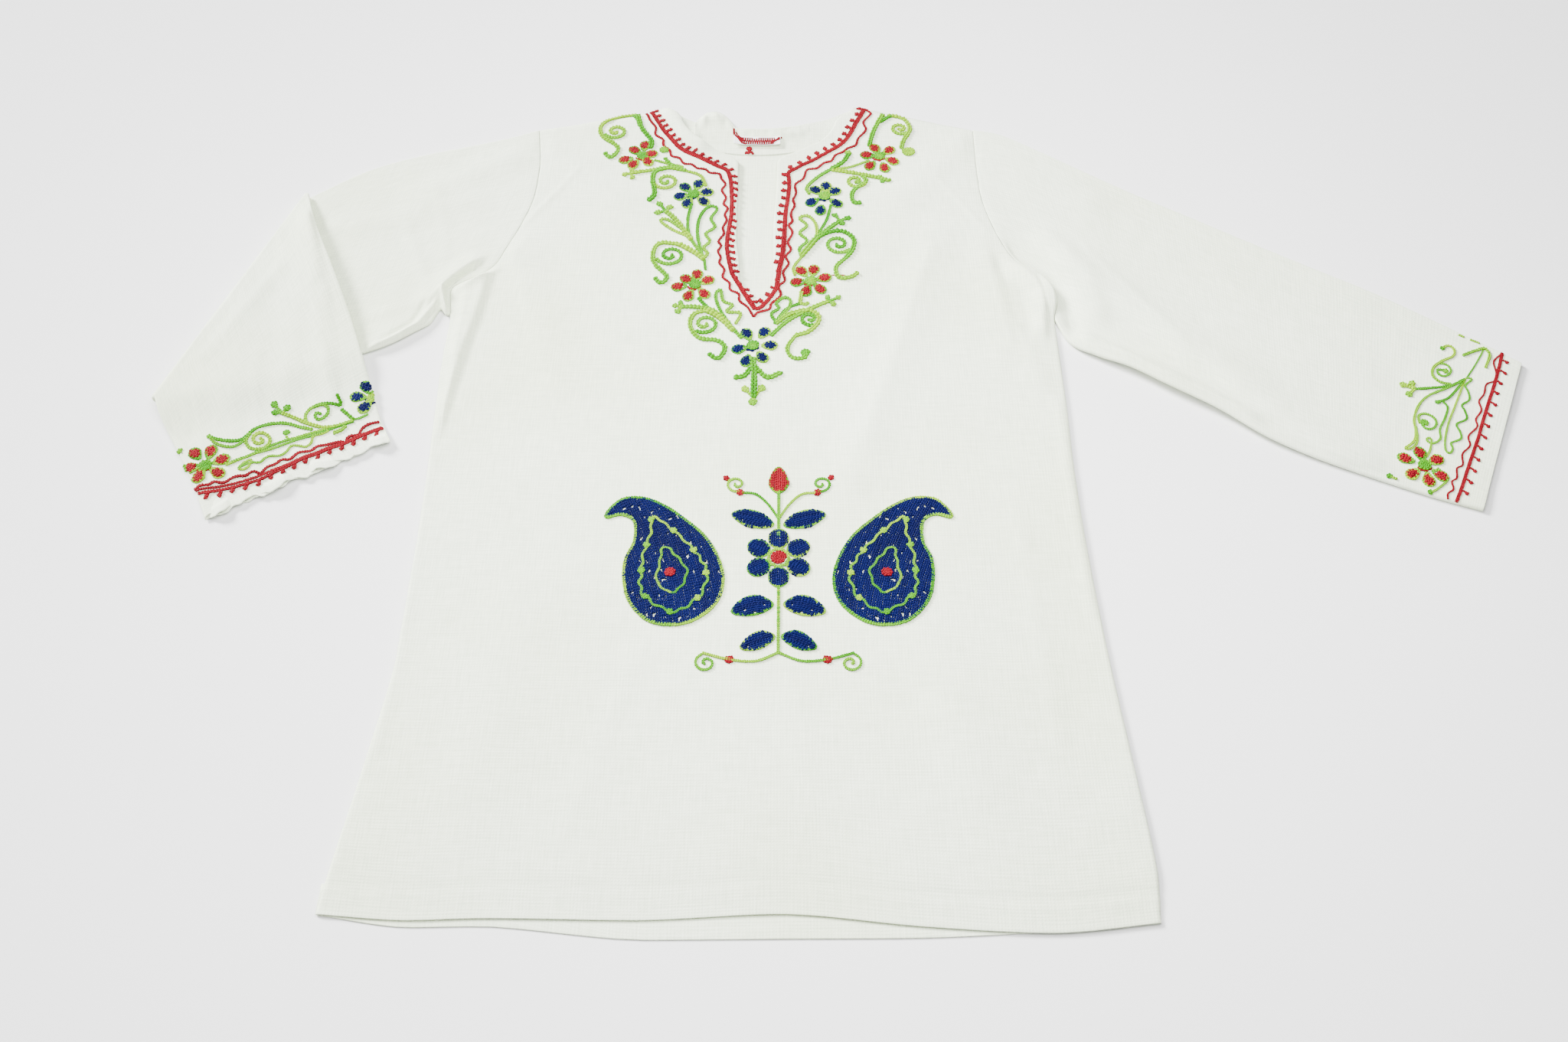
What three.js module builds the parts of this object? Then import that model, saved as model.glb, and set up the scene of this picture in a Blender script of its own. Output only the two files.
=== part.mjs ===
// Embroidered peasant blouse of thin cotton, for a child, laid flat on its back.
// The right sleeve lies straight out; the left one is folded over itself at the elbow.
// Millimetres, +Z up, +Y towards the neck. The origin is on the underside, on the centre line.
import * as THREE from "three";

// Driving sizes
const WALL = 1.2; // modelled thickness of one layer of cloth
const SEAM_GAP = 0.3; // clearance between pieces at seams and between lying layers
const LAYER = WALL + SEAM_GAP; // rise from one lying layer to the next
const SLEEVE_FLAT = 2 * WALL + SEAM_GAP; // height of an empty sleeve lying flat
const FOLD_RADIUS = 2.1; // middle radius of the fold in the left sleeve
const HEM_NOMINAL = -290; // level that the hem's uneven line is drawn about
const HEM_REACH = 90; // how far up the panels the hem's uneven line is felt
const NECK_CENTRE_X = 1; // the neck and its slit sit a little off the panel's middle
const BACK_NECK_Y = 268.5; // lowest point of the back neck edge
const NECK_CURVE = 2.1; // power of the back neck's curve
const NECK_POINT = { left: [-66, 288], right: [68, 292] }; // where neck meets shoulder
const SLIT_END_Y = 112; // lower end of the front slit
const ARMHOLE = { top: 268, underarm: 90 }; // levels of the armhole's two ends
const SLEEVE_WIDTH = 135; // flat width of a sleeve near its middle
const SEAM_HOLD = 9; // folds die away over this distance from a seam
const PANEL_COLUMNS = { front: 15, back: 6 }; // faces across each half of a panel
const SLEEVE_ROWS = 2; // faces between two listed sections of a sleeve

// Side seams and armhole edges of both body panels, from the hem up
const BODY_EDGE = [
  { y: -290, left: -202, right: 196 },
  { y: -266, left: -199, right: 198 },
  { y: -205, left: -191, right: 194 },
  { y: -150, left: -185, right: 190 },
  { y: -85, left: -185, right: 187 },
  { y: -30, left: -186, right: 186 },
  { y: 25, left: -188, right: 188 },
  { y: 62, left: -189, right: 188 },
  { y: 90, left: -188.5, right: 187 }, // underarm
  { y: 104, left: -189, right: 190 },
  { y: 118, left: -185, right: 188 },
  { y: 130, left: -173, right: 181 },
  { y: 139, left: -166, right: 170 },
  { y: 152, left: -160.5, right: 163 },
  { y: 174, left: -153, right: 155 },
  { y: 200, left: -147, right: 150 },
  { y: 230, left: -146, right: 149 },
  { y: 268, left: -150, right: 149.5 }, // top of the armhole, on the shoulder
];

// Neck edge and slit of the front panel, from the slit's end up to the shoulder
const FRONT_OPENING = [
  { y: 112, left: 1, right: 1 },
  { y: 115, left: -6, right: 8 },
  { y: 122, left: -10, right: 11 },
  { y: 140, left: -11, right: 11.5 },
  { y: 175, left: -11.5, right: 11 },
  { y: 215, left: -12, right: 11 },
  { y: 238, left: -15, right: 16 },
  { y: 246, left: -27, right: 31 },
  { y: 256, left: -40, right: 45 },
  { y: 268, left: -49, right: 52 },
  { y: 281, left: -54, right: 57 },
  { y: 288, left: -66, right: 68 },
];

// Uneven hem line: where the front's and the longer back's lower edges lie
const HEM = [
  { x: -202, front: -288, back: -288 },
  { x: -160, front: -291, back: -294 },
  { x: -121, front: -290, back: -293.5 },
  { x: -50, front: -291, back: -300 },
  { x: 19, front: -288, back: -299.5 },
  { x: 85, front: -294, back: -299 },
  { x: 146, front: -297, back: -296 },
  { x: 198, front: -292, back: -292 },
];

// Rows of the two panels: height at the outer edge and at the centre line or opening
const LOWER_ROWS = [
  { outer: -290, inner: -290 },
  { outer: -273, inner: -273 },
  { outer: -235, inner: -235 },
  { outer: -190, inner: -190 },
  { outer: -140, inner: -140 },
  { outer: -90, inner: -90 },
  { outer: -40, inner: -40 },
  { outer: 0, inner: 4 },
  { outer: 33, inner: 42 },
  { outer: 63, inner: 80 },
];
const FRONT_UPPER_ROWS = [
  { outer: ARMHOLE.underarm, inner: SLIT_END_Y },
  { outer: 99, inner: 115 },
  { outer: 108, inner: 122 },
  { outer: 118, inner: 140 },
  { outer: 128, inner: 158 },
  { outer: 137, inner: 175 },
  { outer: 150, inner: 195 },
  { outer: 174, inner: 215 },
  { outer: 200, inner: 238 },
  { outer: 226, inner: 246 },
  { outer: 246, inner: 256 },
  { outer: 257, inner: 268 },
  { outer: 263, inner: 281 },
  { outer: 268, inner: 288 },
];
// neck is the share of the way along the back neck edge, from its middle to the shoulder
const BACK_UPPER_ROWS = [
  { outer: 90, inner: 112 },
  { outer: 99, inner: 124 },
  { outer: 108, inner: 136 },
  { outer: 118, inner: 150 },
  { outer: 128, inner: 164 },
  { outer: 137, inner: 178 },
  { outer: 150, inner: 195 },
  { outer: 174, inner: 218 },
  { outer: 200, inner: 240 },
  { outer: 226, inner: 257 },
  { outer: 246, neck: 0 },
  { outer: 257, neck: 0.45 },
  { outer: 263, neck: 0.77 },
  { outer: 268, neck: 1 },
];

// Soft folds: ridges between two points, as wide and as high as given
const FRONT_FOLDS = [
  { from: [-178, 112], to: [-183, 0], width: 6, height: 3.6 }, // rolled left side
  { from: [178, 126], to: [179, 92], width: 7, height: 5 }, // puff at the right underarm
  { from: [158, 132], to: [172, 30], width: 7, height: 1.8 },
  { from: [146, 150], to: [152, 62], width: 8, height: 1.3 },
  { from: [113, 151], to: [58, -28], width: 15, height: 1.5 }, // long crease on the chest
  { from: [-150, 150], to: [-120, 40], width: 12, height: 1.2 },
  { from: [-140, 252], to: [-95, 200], width: 14, height: 1.2 }, // below the left shoulder
  { from: [140, 250], to: [100, 205], width: 14, height: 1.2 },
  { from: [-120, -120], to: [-150, -262], width: 20, height: 1.2 },
  { from: [95, -150], to: [120, -268], width: 18, height: 1.5 },
];
const SLEEVE_RIGHT_FOLDS = [
  { from: [206, 136], to: [330, -8], width: 15, height: 2.2 }, // soft ridge to the elbow
  { from: [170, 232], to: [215, 196], width: 14, height: 1.2 },
  { from: [205, 66], to: [290, 12], width: 7, height: 2.4 }, // seam edge stands up
];
const SLEEVE_LEFT_FOLDS = [
  { from: [-193, 112], to: [-181, 146], width: 5, height: 5 }, // ridge above the underarm
  { from: [-199, 96], to: [-232, 70], width: 5, height: 2.6 }, // rolled seam edge
  { from: [-168, 236], to: [-215, 205], width: 13, height: 1.2 },
];
const FOREARM_FOLDS = [
  { from: [-289, 172], to: [-247, 36], width: 7, height: 2.0 }, // pleat beside the edge
  { from: [-318, 118], to: [-306, 6], width: 16, height: 1.4 },
];

// Sections of the right sleeve: its upper fold edge and its underarm seam edge
const SLEEVE_RIGHT = [
  { top: [149.5, 268], seam: [187, 90], lift: 0 },
  { top: [168, 263], seam: [195, 70], lift: 0.5 },
  { top: [192, 247], seam: [210, 59], lift: 1.5 },
  { top: [218, 228], seam: [228, 49], lift: 2.2 },
  { top: [250, 205], seam: [249, 34], lift: 2.2 },
  { top: [285, 182], seam: [275, 17], lift: 1.6 },
  { top: [318, 160], seam: [300, -3], lift: 0.8 },
  { top: [352, 138], seam: [326, -18], lift: 0.3 },
  { top: [391, 113], seam: [356, -32], lift: 0 },
  { top: [430, 84], seam: [386, -45], lift: 0 },
  { top: [451, 68], seam: [402, -51], lift: 0 },
  { top: [467, 55], seam: [413, -55], lift: 0 },
];
// Sections of the left sleeve from the armhole to its fold, and from the fold to the cuff
const SLEEVE_LEFT_UPPER = [
  { top: [-150, 268], seam: [-188.5, 90], lift: 0 },
  { top: [-172, 259], seam: [-206, 84], lift: 0.6 },
  { top: [-200, 250], seam: [-228, 67], lift: 1 },
  { top: [-229, 241], seam: [-262, 54], lift: 0.4 },
  { top: [-262, 226], seam: [-304, 41], lift: 0 },
  { top: [-296, 200], seam: [-354, 24], lift: 0 },
];
const SLEEVE_LEFT_FOREARM = [
  { top: [-284, 168], seam: [-349, 13], arch: 4.5 },
  { top: [-268, 133], seam: [-342, 1], arch: 5 },
  { top: [-252, 97], seam: [-335, -10], arch: 3.5 },
  { top: [-238, 62], seam: [-328, -21], arch: 2 },
  { top: [-227, 32], seam: [-320, -34], arch: 0.8 },
  { top: [-218, 9], seam: [-312, -49], arch: 0 },
  { top: [-211, -5], seam: [-306, -61], arch: 0 },
];
const FOLD_TURNS = [30, 60, 90, 120, 150]; // degrees of the steps round the fold
const FOREARM_DROP = { from: [-236, 62], to: [-354, 24], over: 34 }; // edge it falls past
const ARCH_SHARE = 0.4; // share of the width over which the forearm's raised edge falls
const CUFF_WAVE = { count: 4.5, height: 1.1, reach: 28 }; // ruffle of the left cuff
const LIFT_SHARE = 0.14; // share of the width that the raised seam edge takes up

// Facing inside the back neck, with its left part turned up past the edge
const FACING = {
  from: -43, to: 44, depth: 15, wall: 1, upStart: -42, upEnd: -15, upHeight: 19, rise: 2.5,
  columns: 22, rows: 4,
};
const LABEL = { centre: [0.5, 260.5], width: 34, height: 9, wall: 1, turn: -6, columns: 8, curl: 1.5 };

const COTTON = { color: 0xe6eae4, roughness: 0.9, metalness: 0 };
const TAPE = { color: 0xf0f0ee, roughness: 0.7, metalness: 0 };

// Smooth step from 0 to 1
function ease(t) {
  const s = Math.min(1, Math.max(0, t));
  return s * s * (3 - 2 * s);
}

// Smooth curve through a table's rows: the value of one column at a key in another
function valueAt(table, keyName, column, key) {
  const last = table.length - 2;
  let i = 0;
  while (i < last && key > table[i + 1][keyName]) i += 1;
  const at = (k) => table[Math.min(table.length - 1, Math.max(0, k))];
  const slope = (k) => {
    const [before, after] = [at(k - 1), at(k + 1)];
    return (after[column] - before[column]) / (after[keyName] - before[keyName]);
  };
  const [low, high] = [at(i), at(i + 1)];
  const span = high[keyName] - low[keyName];
  const t = Math.min(1, Math.max(0, (key - low[keyName]) / span));
  const [a, b] = [low[column], high[column]];
  const [da, db] = [slope(i) * span, slope(i + 1) * span];
  const limit = 3 * (b - a); // keeps the curve between its two rows
  const steepest = (d) => Math.sign(d) * Math.min(Math.abs(d), Math.abs(limit));
  const kept = (d) => (d * limit > 0 ? steepest(d) : 0);
  const [ka, kb] = [kept(da), kept(db)];
  const t2 = t * t;
  const t3 = t2 * t;
  return a * (2 * t3 - 3 * t2 + 1) + ka * (t3 - 2 * t2 + t) + b * (3 * t2 - 2 * t3) + kb * (t3 - t2);
}

// Height added at a point by a list of folds: a round ridge that tapers off at both ends
function foldHeight(folds, x, y) {
  let height = 0;
  for (const fold of folds) {
    const [dx, dy] = [fold.to[0] - fold.from[0], fold.to[1] - fold.from[1]];
    const length = Math.hypot(dx, dy);
    const along = ((x - fold.from[0]) * dx + (y - fold.from[1]) * dy) / length;
    const aside = ((x - fold.from[0]) * dy - (y - fold.from[1]) * dx) / length;
    const past = Math.max(0, -along, along - length);
    const taper = Math.exp(-((past / (1.5 * fold.width)) ** 2));
    height += fold.height * taper * Math.exp(-((aside / fold.width) ** 2));
  }
  return height;
}

// Closed solid from faces listed as corner numbers, outer points, and their inner partners
function wallSolid(outer, inner, faces) {
  const shift = outer.length;
  const index = [];
  const edges = new Map();
  const triangle = (a, b, c) => index.push(a, b, c);
  for (const [a, b, c, d] of faces) {
    triangle(a, b, c);
    triangle(a, c, d);
    triangle(a + shift, c + shift, b + shift);
    triangle(a + shift, d + shift, c + shift);
    for (const [p, q] of [[a, b], [b, c], [c, d], [d, a]]) {
      if (edges.has(`${q},${p}`)) edges.delete(`${q},${p}`);
      else edges.set(`${p},${q}`, [p, q]);
    }
  }
  for (const [p, q] of edges.values()) {
    triangle(q, p, p + shift);
    triangle(q, p + shift, q + shift);
  }
  const geometry = new THREE.BufferGeometry();
  geometry.setAttribute("position", new THREE.Float32BufferAttribute([...outer, ...inner].flat(), 3));
  geometry.setIndex(index);
  geometry.computeVertexNormals();
  return geometry;
}

// One half of a body panel's plan: rows between its outer edge and its centre line or opening
function halfPlan(side, rows, columns, panel) {
  return rows.map((row) => {
    const outerX = valueAt(BODY_EDGE, "y", side, row.outer);
    const inner = innerPoint(side, row, panel);
    return Array.from({ length: columns + 1 }, (_, i) => {
      const u = 1 - (1 - i / columns) ** 1.4; // closer columns towards the side seam
      const x = inner[0] + (outerX - inner[0]) * u;
      const nominal = inner[1] + (row.outer - inner[1]) * u;
      const hemShift = valueAt(HEM, "x", panel, x) - HEM_NOMINAL;
      const felt = ease((HEM_NOMINAL + HEM_REACH - nominal) / HEM_REACH);
      return { x, y: nominal + hemShift * felt, fromSeam: Math.abs(outerX - x) };
    });
  });
}

// Where a row meets the centre line, the front opening or the back neck edge
function innerPoint(side, row, panel) {
  if (row.neck !== undefined) {
    const [pointX, pointY] = NECK_POINT[side];
    const x = NECK_CENTRE_X + (pointX - NECK_CENTRE_X) * row.neck;
    return [x, BACK_NECK_Y + (pointY - BACK_NECK_Y) * row.neck ** NECK_CURVE];
  }
  if (panel === "back" || row.inner <= SLIT_END_Y) return [NECK_CENTRE_X, row.inner];
  if (row === FRONT_UPPER_ROWS.at(-1)) return NECK_POINT[side];
  return [valueAt(FRONT_OPENING, "y", side, row.inner), row.inner];
}

// Body panel: two halves that share the points of the centre line up to the opening
function panelSolid(panel, rows, sharedRows, heightAt) {
  const columns = PANEL_COLUMNS[panel];
  const outer = [];
  const inner = [];
  const faces = [];
  const shared = [];
  for (const side of ["right", "left"]) {
    const plan = halfPlan(side, rows, columns, panel);
    const numbers = plan.map((row, j) => row.map((point, i) => {
      if (i === 0 && side === "left" && j < sharedRows) return shared[j];
      const z = heightAt(point);
      outer.push([point.x, point.y, z + WALL]);
      inner.push([point.x, point.y, z]);
      if (i === 0 && side === "right") shared[j] = outer.length - 1;
      return outer.length - 1;
    }));
    for (let j = 0; j + 1 < rows.length; j += 1) {
      for (let i = 0; i < columns; i += 1) {
        const [a, b] = [numbers[j][i], numbers[j][i + 1]];
        const [c, d] = [numbers[j + 1][i + 1], numbers[j + 1][i]];
        faces.push(side === "right" ? [a, b, c, d] : [a, d, c, b]);
      }
    }
  }
  return wallSolid(outer, inner, faces);
}

function frontHeight({ x, y, fromSeam }) {
  const air = 0.7 * ease(fromSeam / 90);
  const hold = ease(fromSeam / SEAM_HOLD);
  return LAYER + air + hold * foldHeight(FRONT_FOLDS, x, y);
}

// Sections between the listed ones, on smooth curves through their corners
function denseSections(sections, steps) {
  const keyed = sections.map((section, k) => ({
    key: k, topX: section.top[0], topY: section.top[1],
    seamX: section.seam[0], seamY: section.seam[1],
    lift: section.lift ?? 0, arch: section.arch ?? 0,
  }));
  const count = (sections.length - 1) * steps;
  return Array.from({ length: count + 1 }, (_, k) => {
    const value = (column) => valueAt(keyed, "key", column, k / steps);
    return {
      top: [value("topX"), value("topY")], seam: [value("seamX"), value("seamY")],
      lift: value("lift"), arch: value("arch"),
    };
  });
}

// Edge of the body at height y, along the straight faces between its rows
function bodyEdgeX(side, y) {
  const levels = FRONT_UPPER_ROWS.map((row) => row.outer);
  const i = Math.max(0, levels.slice(0, -1).findLastIndex((level) => level <= y));
  const [low, high] = [levels[i], levels[i + 1]];
  const [lowX, highX] = [low, high].map((level) => valueAt(BODY_EDGE, "y", side, level));
  const t = Math.min(1, Math.max(0, (y - low) / (high - low)));
  const gap = SEAM_GAP * Math.hypot(1, (highX - lowX) / (high - low));
  return lowX + (highX - lowX) * t + (side === "right" ? gap : -gap);
}

// Plan point of a sleeve section at share v of the way from its top edge to its seam
function sectionPoint(section, v) {
  return [0, 1].map((axis) => section.top[axis] + (section.seam[axis] - section.top[axis]) * v);
}

// The same near the armhole, where the section bends to follow the body's edge: the share
// is 1 at the armhole, where the sleeve meets the body with the seam's gap, and fades to 0
function armholePoint(section, first, v, side, share) {
  const [x, y] = sectionPoint(section, v);
  const advance = x - sectionPoint(first, v)[0];
  return [x + share * (bodyEdgeX(side, y) + advance - x), y];
}

// Points round a sleeve's section: a tip at each edge and the two layers between them.
// v is the outer point's share of the width, vIn its partner's on the inside of the wall.
function sectionShares() {
  const inset = SLEEVE_FLAT / 2 / SLEEVE_WIDTH;
  const depth = ARMHOLE.top - ARMHOLE.underarm;
  const levels = FRONT_UPPER_ROWS.map((row) => (ARMHOLE.top - row.outer) / depth);
  const across = levels.toReversed().map((share) => ({
    v: Math.min(1 - inset, Math.max(inset, share)),
    vIn: Math.min(1 - 2.4 * inset, Math.max(2.4 * inset, share)),
  }));
  const tip = (v, vIn) => ({ v, vIn, layer: 0 });
  return [
    tip(0, 2 * inset),
    ...across.map((share) => ({ ...share, layer: 1 })),
    tip(1, 1 - 2 * inset),
    ...across.toReversed().map((share) => ({ ...share, layer: -1 })),
  ];
}

// Sleeve: two lying layers joined round both edges, open at the armhole and the cuff.
// Each row places its points and gives the heights of its two layers.
function sleeveSolid(rows, side) {
  const shares = sectionShares();
  const around = shares.length;
  const outer = [];
  const inner = [];
  const faces = [];
  for (const row of rows) {
    for (const { v, vIn, layer } of shares) {
      const { high, low } = row.layers(v);
      const height = [low, (high + low) / 2, high][layer + 1];
      outer.push(row.place(v, height));
      inner.push(row.place(vIn, height - layer * WALL));
    }
  }
  for (let j = 0; j + 1 < rows.length; j += 1) {
    for (let i = 0; i < around; i += 1) {
      const [here, above] = [j * around, (j + 1) * around];
      const next = (i + 1) % around;
      const [a, b, c, d] = [here + i, here + next, above + next, above + i];
      const face = i < around / 2 ? [b, c, d, a] : [a, b, c, d]; // split clear of the armhole
      faces.push(side === "right" ? face : face.reverse());
    }
  }
  return wallSolid(outer, inner, faces);
}

// Raised edge of a sleeve's seam: how far its two layers stand off the floor at share v
function edgeLift(lift, v) {
  return lift * ease((v - 1 + LIFT_SHARE) / LIFT_SHARE);
}

// Rows of a sleeve that lies face up
function lyingRows(sections, side, folds) {
  return sections.map((section, k) => {
    const armholeShare = Math.max(0, 1 - k / 5) ** 2;
    const hold = ease(k / 2);
    const point = (v) => armholePoint(section, sections[0], v, side, armholeShare);
    return {
      layers: (v) => {
        const [x, y] = point(v);
        const low = edgeLift(section.lift, v);
        const edge = ease(v / 0.06) * ease((1 - v) / 0.05);
        return { low, high: low + SLEEVE_FLAT + hold * edge * foldHeight(folds, x, y) };
      },
      place: (v, z) => [...point(v), z],
    };
  });
}

// A point of the folded part: it turns about a line above the fold, towards outward
function turnedPoint([x, y], z, degrees, outward) {
  const angle = THREE.MathUtils.degToRad(degrees);
  const centreZ = SLEEVE_FLAT / 2 + FOLD_RADIUS;
  const reach = centreZ - z;
  const out = reach * Math.sin(angle);
  return [x + outward[0] * out, y + outward[1] * out, centreZ - reach * Math.cos(angle)];
}

// Share of its full height at which the forearm lies: 1 on the sleeve under it, 0 past its edge
function forearmRest(x, y) {
  const { from, to, over } = FOREARM_DROP;
  const [dx, dy] = [to[0] - from[0], to[1] - from[1]];
  const past = ((x - from[0]) * -dy + (y - from[1]) * dx) / Math.hypot(dx, dy);
  return 1 - ease(past / over);
}

function sleeveLeftRows() {
  const upper = lyingRows(denseSections(SLEEVE_LEFT_UPPER, SLEEVE_ROWS), "left", SLEEVE_LEFT_FOLDS);
  const fold = SLEEVE_LEFT_UPPER.at(-1);
  const flat = { low: 0, high: SLEEVE_FLAT };
  const [alongX, alongY] = [fold.seam[0] - fold.top[0], fold.seam[1] - fold.top[1]];
  const length = Math.hypot(alongX, alongY);
  const outward = [alongY / length, -alongX / length];
  const curl = FOLD_TURNS.map((degrees) => ({
    layers: () => flat,
    place: (v, z) => turnedPoint(sectionPoint(fold, v), z, degrees, outward),
  }));
  const sections = denseSections([{ ...fold, arch: 0 }, ...SLEEVE_LEFT_FOREARM], SLEEVE_ROWS);
  const cuff = sections.at(-1);
  const forearm = sections.map((section) => {
    const fromCuff = Math.hypot(cuff.top[0] - section.top[0], cuff.top[1] - section.top[1]);
    const ruffle = CUFF_WAVE.height * ease(1 - fromCuff / CUFF_WAVE.reach);
    return {
      layers: (v) => {
        const [x, y] = sectionPoint(section, v);
        const edge = ease(v / 0.05) * ease((1 - v) / 0.05);
        return { low: -edge * foldHeight(FOREARM_FOLDS, x, y), high: SLEEVE_FLAT };
      },
      place: (v, z) => {
        const [x, y] = sectionPoint(section, v);
        const drop = 2 * FOLD_RADIUS * (1 - forearmRest(x, y));
        const arch = section.arch * (1 - ease(v / ARCH_SHARE));
        const wave = ruffle * (1 + Math.sin(2 * Math.PI * CUFF_WAVE.count * v));
        const [px, py, pz] = turnedPoint([x, y], z, 180, outward);
        return [px, py, pz - drop + arch + wave];
      },
    };
  });
  return [...upper, ...curl, ...forearm];
}

// Facing strip inside the back neck; between upStart and upEnd it is turned up past the edge
function facingSolid() {
  const outer = [];
  const inner = [];
  const faces = [];
  for (let i = 0; i <= FACING.columns; i += 1) {
    const x = FACING.from + ((FACING.to - FACING.from) * i) / FACING.columns;
    const side = x < NECK_CENTRE_X ? "left" : "right";
    const [pointX, pointY] = NECK_POINT[side];
    const share = (x - NECK_CENTRE_X) / (pointX - NECK_CENTRE_X);
    const edgeY = BACK_NECK_Y + (pointY - BACK_NECK_Y) * share ** NECK_CURVE;
    const turned = (x - FACING.upStart) / (FACING.upEnd - FACING.upStart);
    const up = turned > 0 && turned < 1 ? Math.sin(Math.PI * turned) ** 0.8 : 0;
    for (let j = 0; j <= FACING.rows; j += 1) {
      const t = j / FACING.rows;
      const y = edgeY - FACING.depth + (FACING.depth - 1 + FACING.upHeight * up) * t;
      const z = LAYER + FACING.rise * up * Math.sin(Math.PI * t);
      outer.push([x, y, z + FACING.wall]);
      inner.push([x, y, z]);
      if (i < FACING.columns && j < FACING.rows) {
        const a = i * (FACING.rows + 1) + j;
        faces.push([a, a + FACING.rows + 1, a + FACING.rows + 2, a + 1]);
      }
    }
  }
  return wallSolid(outer, inner, faces);
}

// Woven label: a flat tape with both ends curling up a little
function labelSolid() {
  const outer = [];
  const inner = [];
  const faces = [];
  const turn = THREE.MathUtils.degToRad(LABEL.turn);
  const base = LAYER + FACING.wall + SEAM_GAP;
  for (let i = 0; i <= LABEL.columns; i += 1) {
    const s = i / LABEL.columns - 0.5;
    for (const t of [-0.5, 0.5]) {
      const [along, across] = [s * LABEL.width, t * LABEL.height];
      const x = LABEL.centre[0] + along * Math.cos(turn) - across * Math.sin(turn);
      const y = LABEL.centre[1] + along * Math.sin(turn) + across * Math.cos(turn);
      const z = base + LABEL.curl * (2 * Math.abs(s)) ** 4;
      outer.push([x, y, z + LABEL.wall]);
      inner.push([x, y, z]);
    }
    if (i < LABEL.columns) faces.push([2 * i, 2 * i + 2, 2 * i + 3, 2 * i + 1]);
  }
  return wallSolid(outer, inner, faces);
}

function piece(name, geometry, finish) {
  const mesh = new THREE.Mesh(geometry, new THREE.MeshStandardMaterial(finish));
  mesh.name = name;
  return mesh;
}

const frontRows = [...LOWER_ROWS, ...FRONT_UPPER_ROWS];
const backRows = [...LOWER_ROWS, ...BACK_UPPER_ROWS];
const slitEndRow = frontRows.findIndex((row) => row.inner === SLIT_END_Y);
const neckRow = backRows.findIndex((row) => row.neck === 0);

const blouse = new THREE.Group();
blouse.add(
  piece("back_panel", panelSolid("back", backRows, neckRow + 1, () => 0), COTTON),
  piece("front_panel", panelSolid("front", frontRows, slitEndRow + 1, frontHeight), COTTON),
  piece(
    "sleeve_right",
    sleeveSolid(
      lyingRows(denseSections(SLEEVE_RIGHT, SLEEVE_ROWS), "right", SLEEVE_RIGHT_FOLDS), "right",
    ),
    COTTON,
  ),
  piece("sleeve_left", sleeveSolid(sleeveLeftRows(), "left"), COTTON),
  piece("back_neck_facing", facingSolid(), COTTON),
  piece("label", labelSolid(), TAPE),
);
export default blouse;
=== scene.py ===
import math

import bpy
import numpy as np
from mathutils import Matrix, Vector
from mathutils.bvhtree import BVHTree


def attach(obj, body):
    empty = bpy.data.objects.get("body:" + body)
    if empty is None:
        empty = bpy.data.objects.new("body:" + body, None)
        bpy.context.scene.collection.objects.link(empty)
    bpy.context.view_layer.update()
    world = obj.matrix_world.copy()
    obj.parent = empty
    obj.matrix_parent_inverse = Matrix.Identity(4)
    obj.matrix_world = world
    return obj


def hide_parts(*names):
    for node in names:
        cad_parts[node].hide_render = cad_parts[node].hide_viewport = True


# A child's embroidered peasant blouse of thin cotton, laid flat on its back.
# Sizes are in millimetres and heights are above the surface; MM takes them to metres.
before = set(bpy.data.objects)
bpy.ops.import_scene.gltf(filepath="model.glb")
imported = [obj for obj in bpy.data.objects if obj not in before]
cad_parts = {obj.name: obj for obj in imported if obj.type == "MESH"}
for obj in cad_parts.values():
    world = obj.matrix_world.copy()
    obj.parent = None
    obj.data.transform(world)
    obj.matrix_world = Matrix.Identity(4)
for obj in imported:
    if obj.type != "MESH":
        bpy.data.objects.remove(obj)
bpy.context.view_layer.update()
MM = 0.001


# ---------------------------------------------------------------- camera
# Looks down at the laid blouse from the hem's side, 55 degrees below the horizontal. The image is
# 2048 pixels wide, and the lens has a focal length of 1880 of them.
CAMERA_AT = (19, -525, 662.8)
CAMERA_DOWN = 55
IMAGE_WIDTH = 2048
FOCAL_LENGTH = 1880
camera = bpy.data.objects.new("camera", bpy.data.cameras.new("camera"))
camera.location = [c * MM for c in CAMERA_AT]
camera.rotation_euler = (math.radians(90 - CAMERA_DOWN), 0, 0)
camera.data.sensor_width = 36
camera.data.lens = camera.data.sensor_width * FOCAL_LENGTH / IMAGE_WIDTH
bpy.context.scene.collection.objects.link(camera)
bpy.context.scene.camera = camera


# ---------------------------------------------------------------- back panel
# One piece of bleached cotton from the hem to the shoulders, lying on the surface.
# Its lower edge is turned up by 16 mm and stitched, and its neck edge is higher than the front's.
CLOTH = 0.3  # thickness of one layer
WALL = 1.2  # room that one layer takes in the laid stack
LAYER = 1.5  # rise from one lying layer to the next
CENTRE_X = 1
HEM_LEVEL = -290
HEM_DEPTH = 16
HEM_ROLL = 0.35  # outer radius of a turned edge
HEM_REACH = 90  # how far up the rows follow the hem's waves
SEAM_ROUND = 2.2  # width of the rounded cloth beside a seam
NECK_LEVEL = 246  # level of the first row that ends on the back's neck edge
TOP_LEVEL = 268  # level of the last row, which lies along the shoulder
BACK_NECK_Y = 268.5
NECK_CURVE = 2.1
NECK_POINT = {-1: (-66, 288), 1: (68, 292)}  # where the shoulder meets the neck edge
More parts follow.
